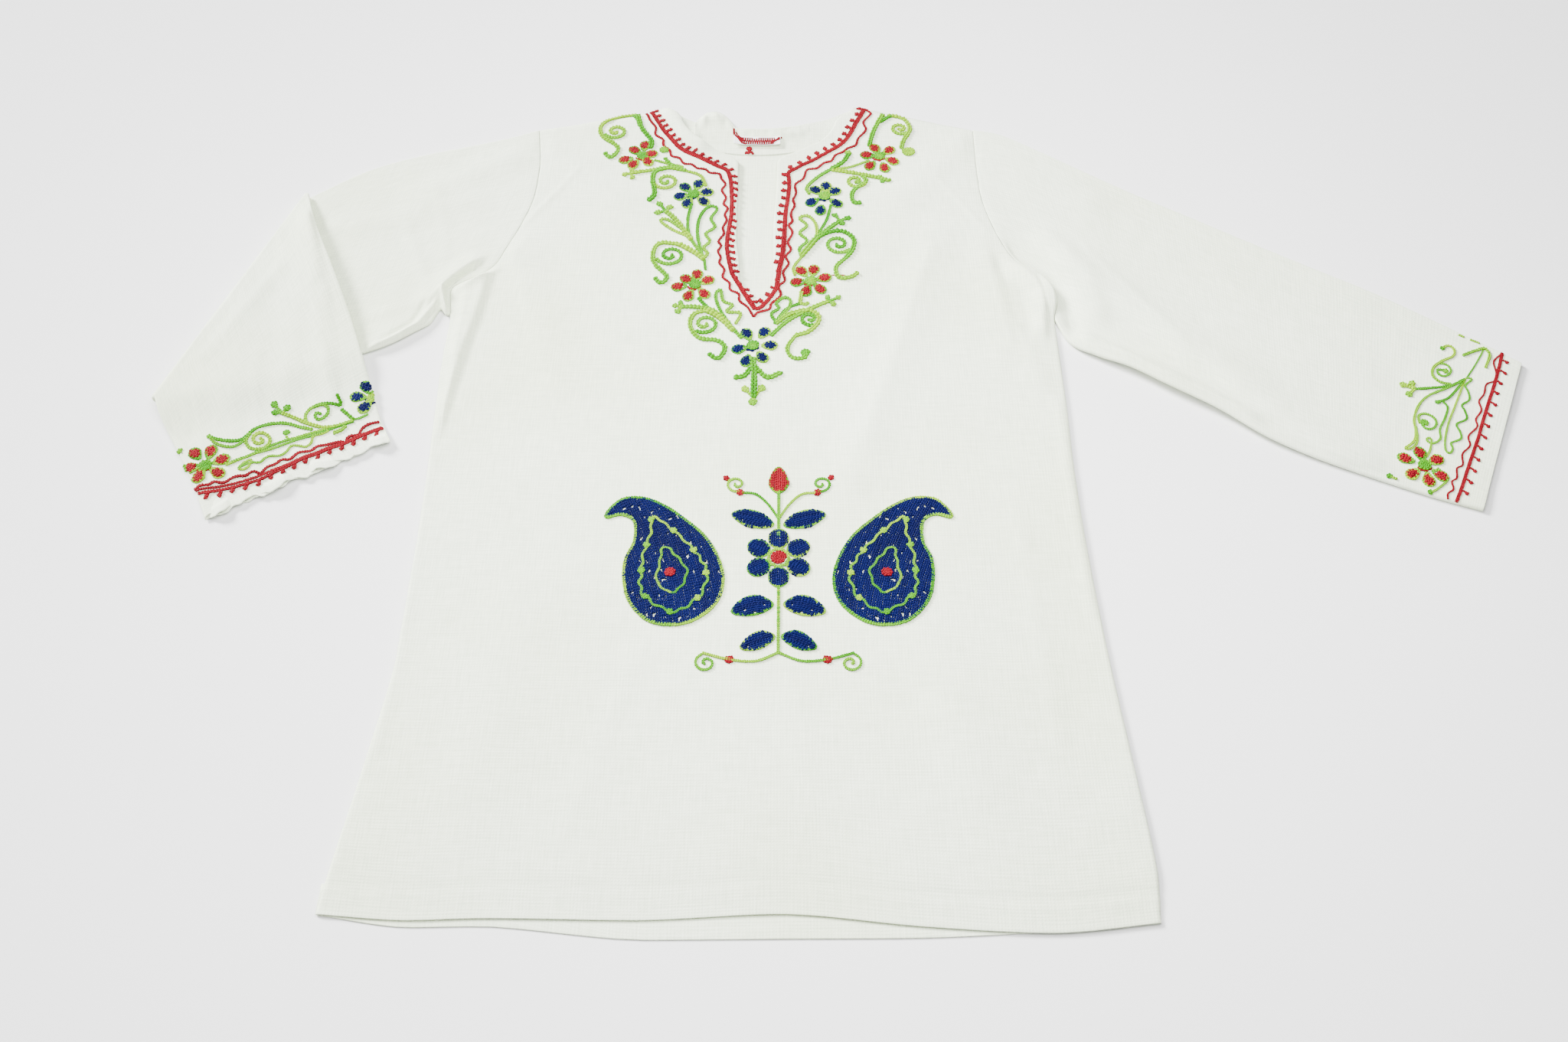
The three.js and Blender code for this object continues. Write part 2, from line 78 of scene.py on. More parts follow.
# level, left edge, right edge
BODY_EDGE = np.array([
    (-290, -202, 196), (-266, -199, 198), (-205, -191, 194), (-150, -185, 190), (-85, -185, 187),
    (-30, -186, 186), (25, -188, 187), (62, -189, 187), (90, -188.5, 187), (104, -190, 190),
    (112, -191, 189.5), (118, -190, 187.5), (124, -182, 184), (131, -171.5, 179), (139, -165, 169),
    (152, -160.5, 162), (174, -153, 155),
    (200, -147, 150), (230, -146, 149), (268, -150, 149.5),
])
# x, lower edge of the front, lower edge of the back
HEM = np.array([
    (-202, -288, -288), (-160, -291, -294), (-121, -290, -293.5), (-50, -291, -300),
    (19, -288, -299.5), (85, -294, -299), (146, -297, -296), (198, -292, -292),
])
# level at the side seam, level at the centre line
BACK_ROWS = np.array([
    (-290, -290), (-90, -90), (-40, -40), (0, 4), (33, 42), (63, 80), (90, 112), (118, 150),
    (150, 195), (174, 218), (200, 240), (226, 257), (246, 268.5),
])
# level at the side seam, share of the way along the neck edge
BACK_NECK_ROWS = np.array([(246, 0), (257, 0.45), (263, 0.77), (268, 1)])
# widths to the left and right of the way, height (negative for a trough), then the way's points
BACK_FOLDS = [
    (9, 4, 4.2, (-61, 286), (-56, 277), (-52, 268), (-47, 260)),
    (12, 12, 2.0, (-22, 272), (0, 269), (30, 271)), (3, 3, 0.5, (60, 284), (52, 270)),
]
EDGE_STEPS = np.array([0, 0.15, 0.45, 0.9, 1.5, 2.3, 3.5, 5.5])  # closer points beside an edge


def ease(t):
    """Smooth step: 3 t squared less 2 t cubed, between 0 and 1."""
    t = np.clip(t, 0, 1)
    return t * t * (3 - 2 * t)


def through(table, column, at):
    """Cubic Hermite curve through a table's first column and another one. Each row's slope is that
    from the row before to the row after, kept under 3 times the rise of its span."""
    keys, values = table[:, 0], table[:, column]
    at = np.clip(at, keys[0], keys[-1])
    i = np.clip(np.searchsorted(keys, at) - 1, 0, len(keys) - 2)
    before = np.maximum(np.arange(len(keys)) - 1, 0)
    after = np.minimum(np.arange(len(keys)) + 1, len(keys) - 1)
    slope = (values[after] - values[before]) / (keys[after] - keys[before])
    span, a, b = keys[i + 1] - keys[i], values[i], values[i + 1]
    t = (at - keys[i]) / span
    limit = 3 * (b - a)
    start, end = [
        np.where(d * limit > 0, np.sign(d) * np.minimum(abs(d), abs(limit)), 0)
        for d in (slope[i] * span, slope[i + 1] * span)
    ]
    return (a * (2 * t**3 - 3 * t**2 + 1) + start * (t**3 - 2 * t**2 + t)
            + b * (3 * t**2 - 2 * t**3) + end * (t**3 - t**2))


def uneven(x, y, size, seed):
    """Sum of 24 sine waves that run in random directions, each about as long as size: a smooth
    uneven field of about unit height."""
    rng = np.random.default_rng(seed)
    total = np.zeros(np.broadcast(x, y).shape)
    for _ in range(24):
        turn, phase = rng.uniform(0, 2 * math.pi, 2)
        wave = 2 * math.pi / (size * rng.uniform(0.6, 1.8))
        total += np.sin((x * math.cos(turn) + y * math.sin(turn)) * wave + phase)
    return total / math.sqrt(12)


def body_edge(side, y):
    """The side seam's x at y, on the left for side -1 and on the right for 1."""
    return through(BODY_EDGE, 1 if side < 0 else 2, y)


def hem_line(x, column):
    """The hem's y at x, for the front (column 1) or the back (column 2)."""
    return through(HEM, column, x)


def half_across(inner, outer, columns):
    """Shares of the way from the inner to the outer x of each row: close steps beside both edges,
    and between them steps that grow narrower towards the outer edge, to the power 1.6."""
    width = abs(outer - inner)[:, None]
    share = 1 - (1 - np.linspace(0, 1, columns)[None, 1:-1]) ** 1.6
    near = EDGE_STEPS[-1]
    middle = near + share * (width - 2 * near)
    from_inner = np.hstack([
        np.broadcast_to(EDGE_STEPS, (len(inner), len(EDGE_STEPS))),
        middle,
        width - EDGE_STEPS[::-1],
    ])
    return from_inner / width


def hem_rows():
    """Path of a turned-up edge, from the raw edge inside round the fold: for each row, how far it
    lies in from the fold's outermost point and how far down from the outer face. The fold is half
    a circle of radius HEM_ROLL."""
    inside = np.array([HEM_DEPTH - 1, 11, 7, 4, 2, 1])
    turn = np.linspace(math.pi, 0, 7)
    into = np.concatenate([HEM_ROLL + inside, HEM_ROLL - HEM_ROLL * np.sin(turn)])
    down = np.concatenate([np.full(len(inside), 2 * HEM_ROLL), HEM_ROLL * (1 - np.cos(turn))])
    return into, down


def panel_plan(levels, inner_of, columns, hem_column):
    """Plan of a panel: each row of each half runs from its inner point to the side seam, and the
    rows below the hem's first level follow the turned-up edge. Returns x, y, depth below the outer
    face and the flat position of the cloth, all as (half, row, column)."""
    into, down = hem_rows()
    halves = []
    for side in (-1, 1):
        inner_x, inner_y = inner_of(side, levels)
        outer_x = body_edge(side, levels)
        share = half_across(inner_x, outer_x, columns)
        x = inner_x[:, None] + (outer_x - inner_x)[:, None] * share
        nominal = inner_y[:, None] + (levels - inner_y)[:, None] * share
        felt = ease((HEM_LEVEL + HEM_REACH - nominal) / HEM_REACH)
        y = nominal + (hem_line(x, hem_column) - HEM_LEVEL) * felt
        hem_x = np.repeat(x[:1], len(into), axis=0)
        hem_y = hem_line(hem_x, hem_column) + into[:, None]
        depth = np.vstack([np.repeat(down[:, None], x.shape[1], axis=1), np.zeros_like(x)])
        flat_y = np.vstack([2 * hem_line(hem_x, hem_column) - hem_y, nominal])
        halves.append((np.vstack([hem_x, x]), np.vstack([hem_y, y]), depth, flat_y))
    return [np.stack(part) for part in zip(*halves)]


def joined_halves(shape, shared_rows, up):
    """Corner numbers of a panel's faces. The two halves share their inner points up to the row
    where the opening starts; up is 1 for faces that point up and -1 for down."""
    _, rows, columns = shape
    number = np.arange(2 * rows * columns).reshape(shape)
    number[0, :shared_rows, 0] = number[1, :shared_rows, 0]
    faces = []
    for half, turn in ((0, -up), (1, up)):
        n = number[half]
        quad = np.stack([n[:-1, :-1], n[:-1, 1:], n[1:, 1:], n[1:, :-1]], axis=-1).reshape(-1, 4)
        faces.append(quad if turn > 0 else quad[:, ::-1])
    return np.vstack(faces)


def add_mesh(name, points, faces, material, uv=None, **attributes):
    """Mesh from whole arrays: points and uv in millimetres, faces as rows of corner numbers.
    Points that no face uses are dropped."""
    used, corners = np.unique(faces, return_inverse=True)
    corners = corners.reshape(faces.shape)
    mesh = bpy.data.meshes.new(name)
    mesh.vertices.add(len(used))
    mesh.vertices.foreach_set("co", (points[used] * MM).astype(np.float32).ravel())
    mesh.loops.add(corners.size)
    mesh.loops.foreach_set("vertex_index", corners.astype(np.int32).ravel())
    mesh.polygons.add(len(corners))
    mesh.polygons.foreach_set("loop_start", np.arange(len(corners), dtype=np.int32) * corners.shape[1])
    mesh.update(calc_edges=True)
    if uv is not None:
        layer = mesh.uv_layers.new(name="cloth")
        layer.data.foreach_set("uv", (uv[used][corners.ravel()] * MM).astype(np.float32).ravel())
    for key, values in attributes.items():
        mesh.attributes.new(key, "FLOAT", "POINT").data.foreach_set("value", values[used].astype(np.float32))
    mesh.shade_smooth()
    mesh.materials.append(material)
    piece = bpy.data.objects.new(name, mesh)
    bpy.context.scene.collection.objects.link(piece)
    return piece


def grid_faces(shape):
    """Faces of a grid of points in rows and columns."""
    n = np.arange(shape[0] * shape[1]).reshape(shape)
    return np.stack([n[:-1, :-1], n[1:, :-1], n[1:, 1:], n[:-1, 1:]], axis=-1).reshape(-1, 4)


def thicken(piece, thickness):
    """Gives a surface its cloth thickness on the inner side."""
    wall = piece.modifiers.new("thickness", "SOLIDIFY")
    wall.thickness = thickness * MM
    wall.offset = -1
    return piece


def linear(hexadecimal):
    """sRGB hex colour as linear RGBA."""
    parts = [int(hexadecimal[i:i + 2], 16) / 255 for i in (1, 3, 5)]
    return (*[c / 12.92 if c <= 0.04045 else ((c + 0.055) / 1.055) ** 2.4 for c in parts], 1)


def add_node(tree, kind, inputs, **settings):
    """Adds a node, sets its properties, and links or sets its inputs."""
    node = tree.nodes.new(kind)
    for name, value in settings.items():
        setattr(node, name, value)
    for name, value in inputs.items():
        if isinstance(value, bpy.types.NodeSocket):
            tree.links.new(value, node.inputs[name])
        else:
            node.inputs[name].default_value = value
    return node


def new_material(name):
    material = bpy.data.materials.new(name)
    material.use_nodes = True
    material.node_tree.nodes.clear()
    return material, material.node_tree


# Bleached cotton in a fine plain weave. The threads are uneven: slubs give short light and dark
# streaks both ways, 1 mm wide and 10 to 20 mm long. The weave itself has 0.4 mm between threads
# and is drawn at 0.8 mm, because finer would not show. Matt, with a very slight nap. One wave of
# a wave texture covers two threads, one over and one under.
COTTON_LIGHT = "#F1F9E2"
COTTON_SHADE = "#DEE8D0"
COTTON_WARM = "#F5F6E8"
THREAD_DRAWN = 0.8
SLUB = (1.1, 17)
cotton, tree = new_material("bleached_cotton_plain_weave")
cloth_uv = add_node(tree, "ShaderNodeUVMap", {}, uv_map="cloth").outputs["UV"]
place = add_node(tree, "ShaderNodeTexCoord", {}).outputs["Object"]
slubs = []
for across, along in (SLUB, SLUB[::-1]):
    scaled = add_node(tree, "ShaderNodeMapping", {
        "Vector": cloth_uv, "Scale": (1000 / across, 1000 / along, 1),
    }).outputs["Vector"]
    slubs.append(add_node(tree, "ShaderNodeTexNoise", {
        "Vector": scaled, "Scale": 1.0, "Detail": 2.0, "Roughness": 0.6,
    }).outputs["Fac"])
streaks = add_node(tree, "ShaderNodeMath", {0: slubs[0], 1: slubs[1]}, operation="ADD").outputs[0]
bands = []
for direction in ("X", "Y"):
    bands.append(add_node(tree, "ShaderNodeTexWave", {
        "Vector": cloth_uv, "Scale": 1000 / (2 * THREAD_DRAWN) / 10 * math.pi, "Distortion": 1.2,
        "Detail": 1.0, "Detail Scale": 0.3,
    }, wave_type="BANDS", bands_direction=direction).outputs["Fac"])
weave = add_node(tree, "ShaderNodeMath", {0: bands[0], 1: bands[1]}, operation="MULTIPLY").outputs[0]
tone = add_node(tree, "ShaderNodeMapRange", {
    "Value": streaks, "From Min": 0.75, "From Max": 1.25, "To Min": 0.0, "To Max": 1.0,
}).outputs["Result"]
cotton_tone = add_node(tree, "ShaderNodeMix", {
    "Factor": tone, 6: linear(COTTON_SHADE), 7: linear(COTTON_LIGHT),
}, data_type="RGBA").outputs[2]
patches = add_node(tree, "ShaderNodeTexNoise", {"Vector": place, "Scale": 7.0, "Detail": 1.0}).outputs["Fac"]
patch_share = add_node(tree, "ShaderNodeMapRange", {
    "Value": patches, "From Min": 0.4, "From Max": 0.7, "To Min": 0.0, "To Max": 0.6,
}).outputs["Result"]
cotton_colour = add_node(tree, "ShaderNodeMix", {
    "Factor": patch_share, 6: cotton_tone, 7: linear(COTTON_WARM),
}, data_type="RGBA", blend_type="MULTIPLY").outputs[2]
relief = add_node(tree, "ShaderNodeMath", {0: streaks, 1: weave}, operation="ADD").outputs[0]
relief_normal = add_node(tree, "ShaderNodeBump", {
    "Height": relief, "Strength": 0.5, "Distance": 0.00012,
}).outputs["Normal"]
shader = add_node(tree, "ShaderNodeBsdfPrincipled", {
    "Base Color": cotton_colour, "Normal": relief_normal, "Roughness": 0.9,
    "Specular IOR Level": 0.25, "Sheen Weight": 0.12, "Sheen Roughness": 0.5,
})
add_node(tree, "ShaderNodeOutputMaterial", {"Surface": shader.outputs["BSDF"]})


def along_path(path, x, y):
    """For each point, how far it lies aside of the nearest piece of a path of straight pieces,
    positive to the left of the way, and how far it lies past the path's ends."""
    nearest = np.full(np.broadcast(x, y).shape, 1e9)
    aside, past = np.zeros_like(nearest), np.zeros_like(nearest)
    for k, ((x0, y0), (x1, y1)) in enumerate(zip(path[:-1], path[1:])):
        length = math.hypot(x1 - x0, y1 - y0)
        ux, uy = (x1 - x0) / length, (y1 - y0) / length
        t = (x - x0) * ux + (y - y0) * uy
        across = (y - y0) * ux - (x - x0) * uy
        over = np.maximum(0, np.maximum(-t, t - length))
        away = np.hypot(over, across)
        at_end = ((t < 0) & (k == 0)) | ((t > length) & (k == len(path) - 2))
        closer = away < nearest
        aside = np.where(closer, np.where(at_end, across, np.copysign(away, across)), aside)
        past = np.where(closer, np.where(at_end, over, 0), past)
        nearest = np.minimum(nearest, away)
    return aside, past


def fold_height(folds, x, y):
    """Sum of soft ridges and troughs. Across its path, each falls off as a Gaussian that has one
    width on each side. Past both ends it tapers off over 1.5 times the mean width."""
    total = np.zeros(np.broadcast(x, y).shape)
    for left, right, height, *path in folds:
        aside, past = along_path(path, x, y)
        width = np.where(aside > 0, left, right)
        total += height * np.exp(-((past / (0.75 * (left + right))) ** 2) - (aside / width) ** 2)
    return total


def back_inner(side, levels):
    """Inner point of a back row: on the centre line, then along the neck edge, whose height grows
    with the share of the way to the shoulder, to the power NECK_CURVE."""
    share = np.where(levels > NECK_LEVEL, through(BACK_NECK_ROWS, 1, levels), 0)
    point_x, point_y = NECK_POINT[side]
    y = np.where(levels > NECK_LEVEL, BACK_NECK_Y + (point_y - BACK_NECK_Y) * share**NECK_CURVE,
                 through(BACK_ROWS, 1, levels))
    return CENTRE_X + (point_x - CENTRE_X) * share, y


BACK_LEVELS = np.concatenate([
    np.linspace(HEM_LEVEL + HEM_ROLL + 1, -270, 7)[:-1], np.linspace(-270, NECK_LEVEL, 84)[:-1],
    np.linspace(NECK_LEVEL, TOP_LEVEL, 16),
])
x, y, depth, flat_y = panel_plan(BACK_LEVELS, back_inner, 22, 2)
# the edges curl up to the front's at the side seams, and the middle is a little uneven
edge_away = np.stack([abs(body_edge(side, y[i]) - x[i]) for i, side in enumerate((-1, 1))])
rise = np.clip(1 - edge_away / SEAM_ROUND, 0, 1) ** 2
rise = rise + 0.15 * (1 + uneven(x, y, 60, 5)) * ease(edge_away / 20) * ease((y + 270) / 40)
z = np.maximum(np.clip(rise, 0, 0.6) + fold_height(BACK_FOLDS, x, y), 0) + depth
points = np.stack([x, y, z], axis=-1).reshape(-1, 3)
shared = len(hem_rows()[0]) + np.searchsorted(BACK_LEVELS, NECK_LEVEL) + 1
faces = joined_halves(x.shape, shared, -1)
uv = np.stack([x, flat_y], axis=-1).reshape(-1, 2)
back = thicken(add_mesh("back_panel_cloth", points, faces, cotton, uv), CLOTH)
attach(back, "root")
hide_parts("back_panel")


# ---------------------------------------------------------------- front panel
# One piece of the same cotton lying on the back. The round neck and the narrow slit below it have
# turned edges. Soft creases from wear run down from both armholes, and both sides are rolled.
FRONT_ROWS = np.array([
    (-290, -290), (-90, -90), (-40, -40), (0, 4), (33, 42), (63, 80), (90, 112), (99, 115),
    (108, 122), (118, 140), (128, 158), (137, 175), (150, 195), (174, 215), (200, 238),
    (226, 246), (246, 256), (257, 268), (263, 281), (268, 288),
])
SLIT_LEVEL = 90  # level at the side seam of the row that reaches the slit's end
SLIT_END = 112
FRONT_AIR = (0.7, 90, 70)  # rise of the middle, reach in from the sides, reach up from the hem
HEM_PRESSED = 1.05  # how far the hem is pressed down, within HEM_PRESS_REACH of its edge
HEM_PRESS_REACH = 26
SEAM_DROP = 1.25  # how far the front comes down at a seam
OPENING_EDGE = (1.1, 1.3)  # drop and width of the rounded edge round the neck and slit
HEM_GROOVE = (0.5, 0.9)  # depth and width of the line that the hem's stitches press in
# level, left edge, right edge of the opening
OPENING = np.array([
    (112.3, 1.5, 3.5), (113, -0.3, 6), (115, -2.8, 9), (118, -5.6, 10.7), (122, -8.2, 11.8),
    (128, -9.6, 12.2), (140, -9.6, 12.2), (159, -11.6, 12), (175, -11.8, 12), (200, -11.8, 13.5),
    (215, -11.8, 14), (234, -11.6, 14.5), (240, -17, 19), (246, -27, 29), (256, -40, 44), (268, -49, 52),
    (281, -54, 57), (288, -66, 68),
])
# as in the back's table
FRONT_FOLDS = [
    (3.2, 9, 3.2, (-171, 132), (-171, 113), (-174, 90), (-177.5, 68), (-181, 40), (-184, 8)),
    (4, 4, 1.3, (-181, 116), (-182, 96), (-184, 60)), (4, 4, 2.0, (-187, 117), (-177, 124), (-169, 133)),
    (6, 7, 2.6, (172, 131), (180, 114), (181, 96), (180, 84)),
    (4, 5, -0.8, (159, 134), (167, 112), (170, 80)),
    (7, 9, 1.0, (160, 120), (172, 40)), (8, 8, 0.9, (146, 150), (152, 62)),
    (15, 13, 1.6, (113, 151), (88, 66), (58, -28)), (13, 10, 1.2, (-150, 150), (-134, 96), (-120, 40)),
    (14, 14, 1.2, (-140, 252), (-95, 200)), (14, 14, 1.2, (140, 250), (100, 205)),
    (8, 6, 4.4, (-61, 285), (-54, 269), (-47, 258), (-40, 251)),
    (20, 18, 1.0, (-120, -120), (-140, -225)), (18, 14, 1.1, (95, -130), (112, -220)),
]
FRONT_LIP = (4.4, 116, 18, 8)  # the right seam stands up at the armhole: height, level, length, width
# sharper ones, which run closer to the side seams and the hem
FRONT_CREASES = [
    (3, 2, 0.6, (113, 151), (86, 64), (66, -6)), (2, 3, -0.6, (157, 141), (164, 92)),
    (3, 3, 0.5, (150, 146), (158, 70)), (3, 3, 0.45, (-156, 150), (-140, 96)),
    (4, 3, 0.5, (-190, -60), (-186, -200)), (4, 4, 0.6, (182, 20), (184, -120)),
    (6, 5, 0.4, (-60, -150), (-85, -238)), (7, 6, 0.4, (20, -130), (30, -232)),
    (6, 5, 0.4, (150, -60), (158, -200)), (8, 8, 0.3, (-28, 60), (-50, -30)),
    (1.6, 1.6, -0.6, (180, 128), (182.5, 110), (185, 88)), (2.5, 2, 0.5, (-120, 226), (-150, 176)),
    (2.5, 2, 0.4, (120, 222), (150, 170)),
]


def quarter(distance, radius):
    """Rounded edge: 1 at the edge, falling along a quarter circle to 0 at the radius."""
    t = 1 - np.clip(distance / radius, 0, 1)
    return 1 - np.sqrt(1 - t * t)


opening_levels = np.concatenate([np.linspace(112.3, 126, 25)[:-1], np.linspace(126, 288, 60)])
OPENING_PATH = np.vstack([
    np.stack([through(OPENING, 1, opening_levels), opening_levels], axis=-1)[::-1],
    np.stack([through(OPENING, 2, opening_levels), opening_levels], axis=-1),
])


def front_top(x, y):
    """Height of the front's outer face: the lying stack, air under its middle, the folds, and the
    rounding down to the seams, the shoulders and the opening."""
    side_away = np.where(x < CENTRE_X, x - body_edge(-1, y), body_edge(1, y) - x)
    side_away = np.maximum(side_away, 0)
    hem_away = y - hem_line(x, 1)
    hold = ease(side_away / 9) * (0.2 + 0.8 * ease(hem_away / 40))
    air, in_reach, up_reach = FRONT_AIR
    near_hem = ease(1 - hem_away / HEM_PRESS_REACH)
    z = LAYER + WALL + air * ease(side_away / in_reach) * ease(hem_away / up_reach) - HEM_PRESSED * near_hem
    z = z + hold * fold_height(FRONT_FOLDS, x, y) + ease(side_away / 4) * fold_height(FRONT_CREASES, x, y)
    z = z + hold * (0.16 * uneven(x, y, 85, 1) + 0.05 * uneven(x, y, 26, 2))
    height, level, length, width = FRONT_LIP
    lip = height * np.exp(-(((y - level) / length) ** 2) - (side_away / width) ** 2)
    lip = np.where(x > 0, lip, 0)
    free = SEAM_DROP - 0.8 * ease((y - 84) / 16) - 0.5 * near_hem + 0.7 * lip
    z = z + lip - free * quarter(side_away, SEAM_ROUND)
    for side in (-1, 1):
        (tx, ty), (nx, ny) = (body_edge(side, TOP_LEVEL), TOP_LEVEL), NECK_POINT[side]
        length = math.hypot(nx - tx, ny - ty)
        under = ((x - tx) * (ny - ty) - (y - ty) * (nx - tx)) / length * -side
        z = z - np.where(x * side > 40, SEAM_DROP * quarter(np.maximum(under, 0), SEAM_ROUND), 0)
    drop, width = OPENING_EDGE
    z = z - drop * quarter(np.hypot(*along_path(OPENING_PATH, x, y)), width)
    stitched = hem_away - HEM_DEPTH
    depth, width = HEM_GROOVE
    return z - depth * np.exp(-((stitched / width) ** 2)) + 0.16 * ease(-stitched / 2)


def front_inner(side, levels):
    """Inner point of a front row: on the centre line up to the slit's end, then on its edge."""
    y = through(FRONT_ROWS, 1, levels)
    x = np.where(y > SLIT_END, through(OPENING, 1 if side < 0 else 2, y), CENTRE_X)
    return x, np.where(levels >= TOP_LEVEL, NECK_POINT[side][1], y)


FRONT_LEVELS = np.concatenate([
    np.linspace(HEM_LEVEL + HEM_ROLL + 1, -268, 10)[:-1], np.linspace(-268, 84, 120)[:-1],
    np.linspace(84, SLIT_LEVEL, 5)[:-1], np.linspace(SLIT_LEVEL, 112, 24)[:-1],
    np.linspace(112, TOP_LEVEL, 70),
])
x, y, depth, flat_y = panel_plan(FRONT_LEVELS, front_inner, 64, 1)
points = np.stack([x, y, front_top(x, y) - depth], axis=-1).reshape(-1, 3)
shared = len(hem_rows()[0]) + np.searchsorted(FRONT_LEVELS, SLIT_LEVEL) + 1
faces = joined_halves(x.shape, shared, 1)
uv = np.stack([x, flat_y], axis=-1).reshape(-1, 2)
front = add_mesh("front_panel_cloth", points, faces, cotton, uv)
cloth_under = {"front": BVHTree.FromPolygons((points * MM).tolist(), faces.tolist())}
thicken(front, CLOTH)
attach(front, "root")
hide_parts("front_panel")


# ---------------------------------------------------------------- sleeves
# Each sleeve is a straight tube of the same cotton, pressed flat, set into the armhole with a seam
# and turned in by 10 mm at the cuff. The left one is folded over itself at the elbow, so that the
# underside of its forearm shows.
SLEEVE_HALF = 1.35  # half the height of a pressed sleeve
EDGE_ROUND = 1.8  # width of its rounded edges
SEAM_GAP = 0.15
LIFT_SHARE = 0.14  # share of the width over which the seam is lifted
CUFF_DEPTH = 10
SLEEVE_WIDTH = 135  # a pressed sleeve's mean width, which sets the scale of its weave
# upper edge x, y, seam edge x, y, lift of the seam
RIGHT_SECTIONS = np.array([
    (149.5, 268, 187, 90, 0), (168, 263, 195, 70, 0.8), (192, 247, 210, 59, 2.4),
    (218, 228, 228, 49, 4.2), (250, 205, 249, 34, 4.8), (285, 182, 275, 17, 4.0),
    (318, 160, 300, -3, 2.6), (352, 138, 326, -18, 1.2), (391, 113, 356, -32, 0.4),
    (430, 84, 386, -45, 0), (451, 68, 402, -51, 0), (467, 55, 413, -55, 0),
])
LEFT_SECTIONS = np.array([
    (-150, 268, -189.5, 95, 0), (-172, 259, -206, 83, 0.6), (-200, 250, -228, 67, 1),
    (-229, 241, -262, 54, 0.4), (-262, 226, -304, 41, 0), (-296, 200, -354, 24, 0),
])
# the same from the elbow fold on, with the height of the raised upper edge
FOREARM_SECTIONS = np.array([
    (-296, 200, -354, 24, 0), (-284, 168, -349, 13, 4.5), (-268, 133, -342, 1, 5),
    (-252, 97, -335, -10, 3.5), (-238, 62, -328, -21, 2), (-227, 32, -320, -34, 0.8),
    (-218, 9, -312, -49, 0), (-211, -5, -306, -61, 0),
])
# folds as in the back's table
RIGHT_FOLDS = [
    (16, 11, 2.9, (204, 138), (230, 112), (254, 82), (290, 41), (314, 9), (341, -19)),
    (14, 14, 1.2, (170, 232), (215, 196)), (6, 7, 2.2, (207, 70), (250, 42), (292, 12)),
    (6, 5, -2.3, (169, 149), (178, 141), (187.5, 132), (194, 117), (196.5, 102), (198, 86)),
    (8, 10, 1.9, (192, 158), (209, 130), (214, 100)), (3, 3, 0.6, (214, 150), (262, 74)),
    (5, 5, 0.4, (300, 120), (372, 44)), (4, 4, 0.35, (176, 200), (214, 160)),
    (5, 5, 0.35, (340, 60), (400, 10)), (6, 4, -0.7, (205, 84), (232, 62)),
]
LEFT_FOLDS = [
    (8, 2.2, 2.8, (-203, 105.5), (-196.5, 118), (-187.5, 129.5), (-179, 138)),
    (1.2, 1.4, -2.9, (-193.8, 118), (-188, 126), (-183.5, 130.5), (-180, 133.5)),
    (2.5, 2.3, 2.2, (-230, 67), (-217, 76), (-207, 86), (-200, 101), (-196.5, 112)),
    (2, 2.2, -1.2, (-226, 74), (-212, 87), (-206, 102)),
    (1.6, 1.6, 3.2, (-195.5, 115), (-194, 105), (-191, 97)), (1.2, 1.2, -2.2, (-192.2, 112), (-191, 103)),
    (13, 13, 1.6, (-168, 236), (-215, 205)), (5, 4, 0.9, (-207, 120), (-226, 170)),
    (12, 9, 1.2, (-190, 196), (-240, 178), (-276, 170)),
    (3.5, 3.5, 0.4, (-198, 150), (-214, 214)), (5, 4, 0.5, (-222, 100), (-262, 84)),
    (9, 6, -0.8, (-282, 176), (-262, 148), (-240, 92)),
]
NOTCH = (-195.8, 3.2, 9)  # a gap in the sleeve's lower edge beside the armhole: x, half width, height
FOREARM_FOLDS = [
    (2.6, 8, 2.8, (-289, 172), (-268, 106), (-247, 28)), (16, 16, 1.4, (-318, 118), (-306, 6)),
    (10, 8, 1.2, (-286, 110), (-276, 20)), (6, 5, 0.9, (-300, 130), (-330, 60)),
]
FOREARM_CREASES = [
    (2.4, 1.8, -1.6, (-272, 112), (-258, 66), (-244, 20)), (3, 3, 0.4, (-300, 60), (-284, -30)),
    (4, 4, 0.4, (-330, 30), (-312, -40)), (2.5, 3, 0.35, (-262, 20), (-256, -20)),
]
FOLD_RADIUS = 2.1  # radius of the elbow fold, at the middle of the pressed sleeve
FOLD_CENTRE = SLEEVE_HALF + FOLD_RADIUS
# past this line the forearm has no sleeve under it, and comes down over that length
FOREARM_DROP = ((-236, 62), (-354, 24), 34)
CUFF_WAVE = (3.6, 2.4, 24, 1.3)  # waves across the cuff, height, reach up the sleeve, sway of the edge


def section_rows(table, s):
    """Edges and fifth value of a sleeve's sections at places s along the table's rows."""
    keyed = np.column_stack([np.arange(len(table)), table])
    return [through(keyed, column, s)[:, None] for column in range(1, 6)]


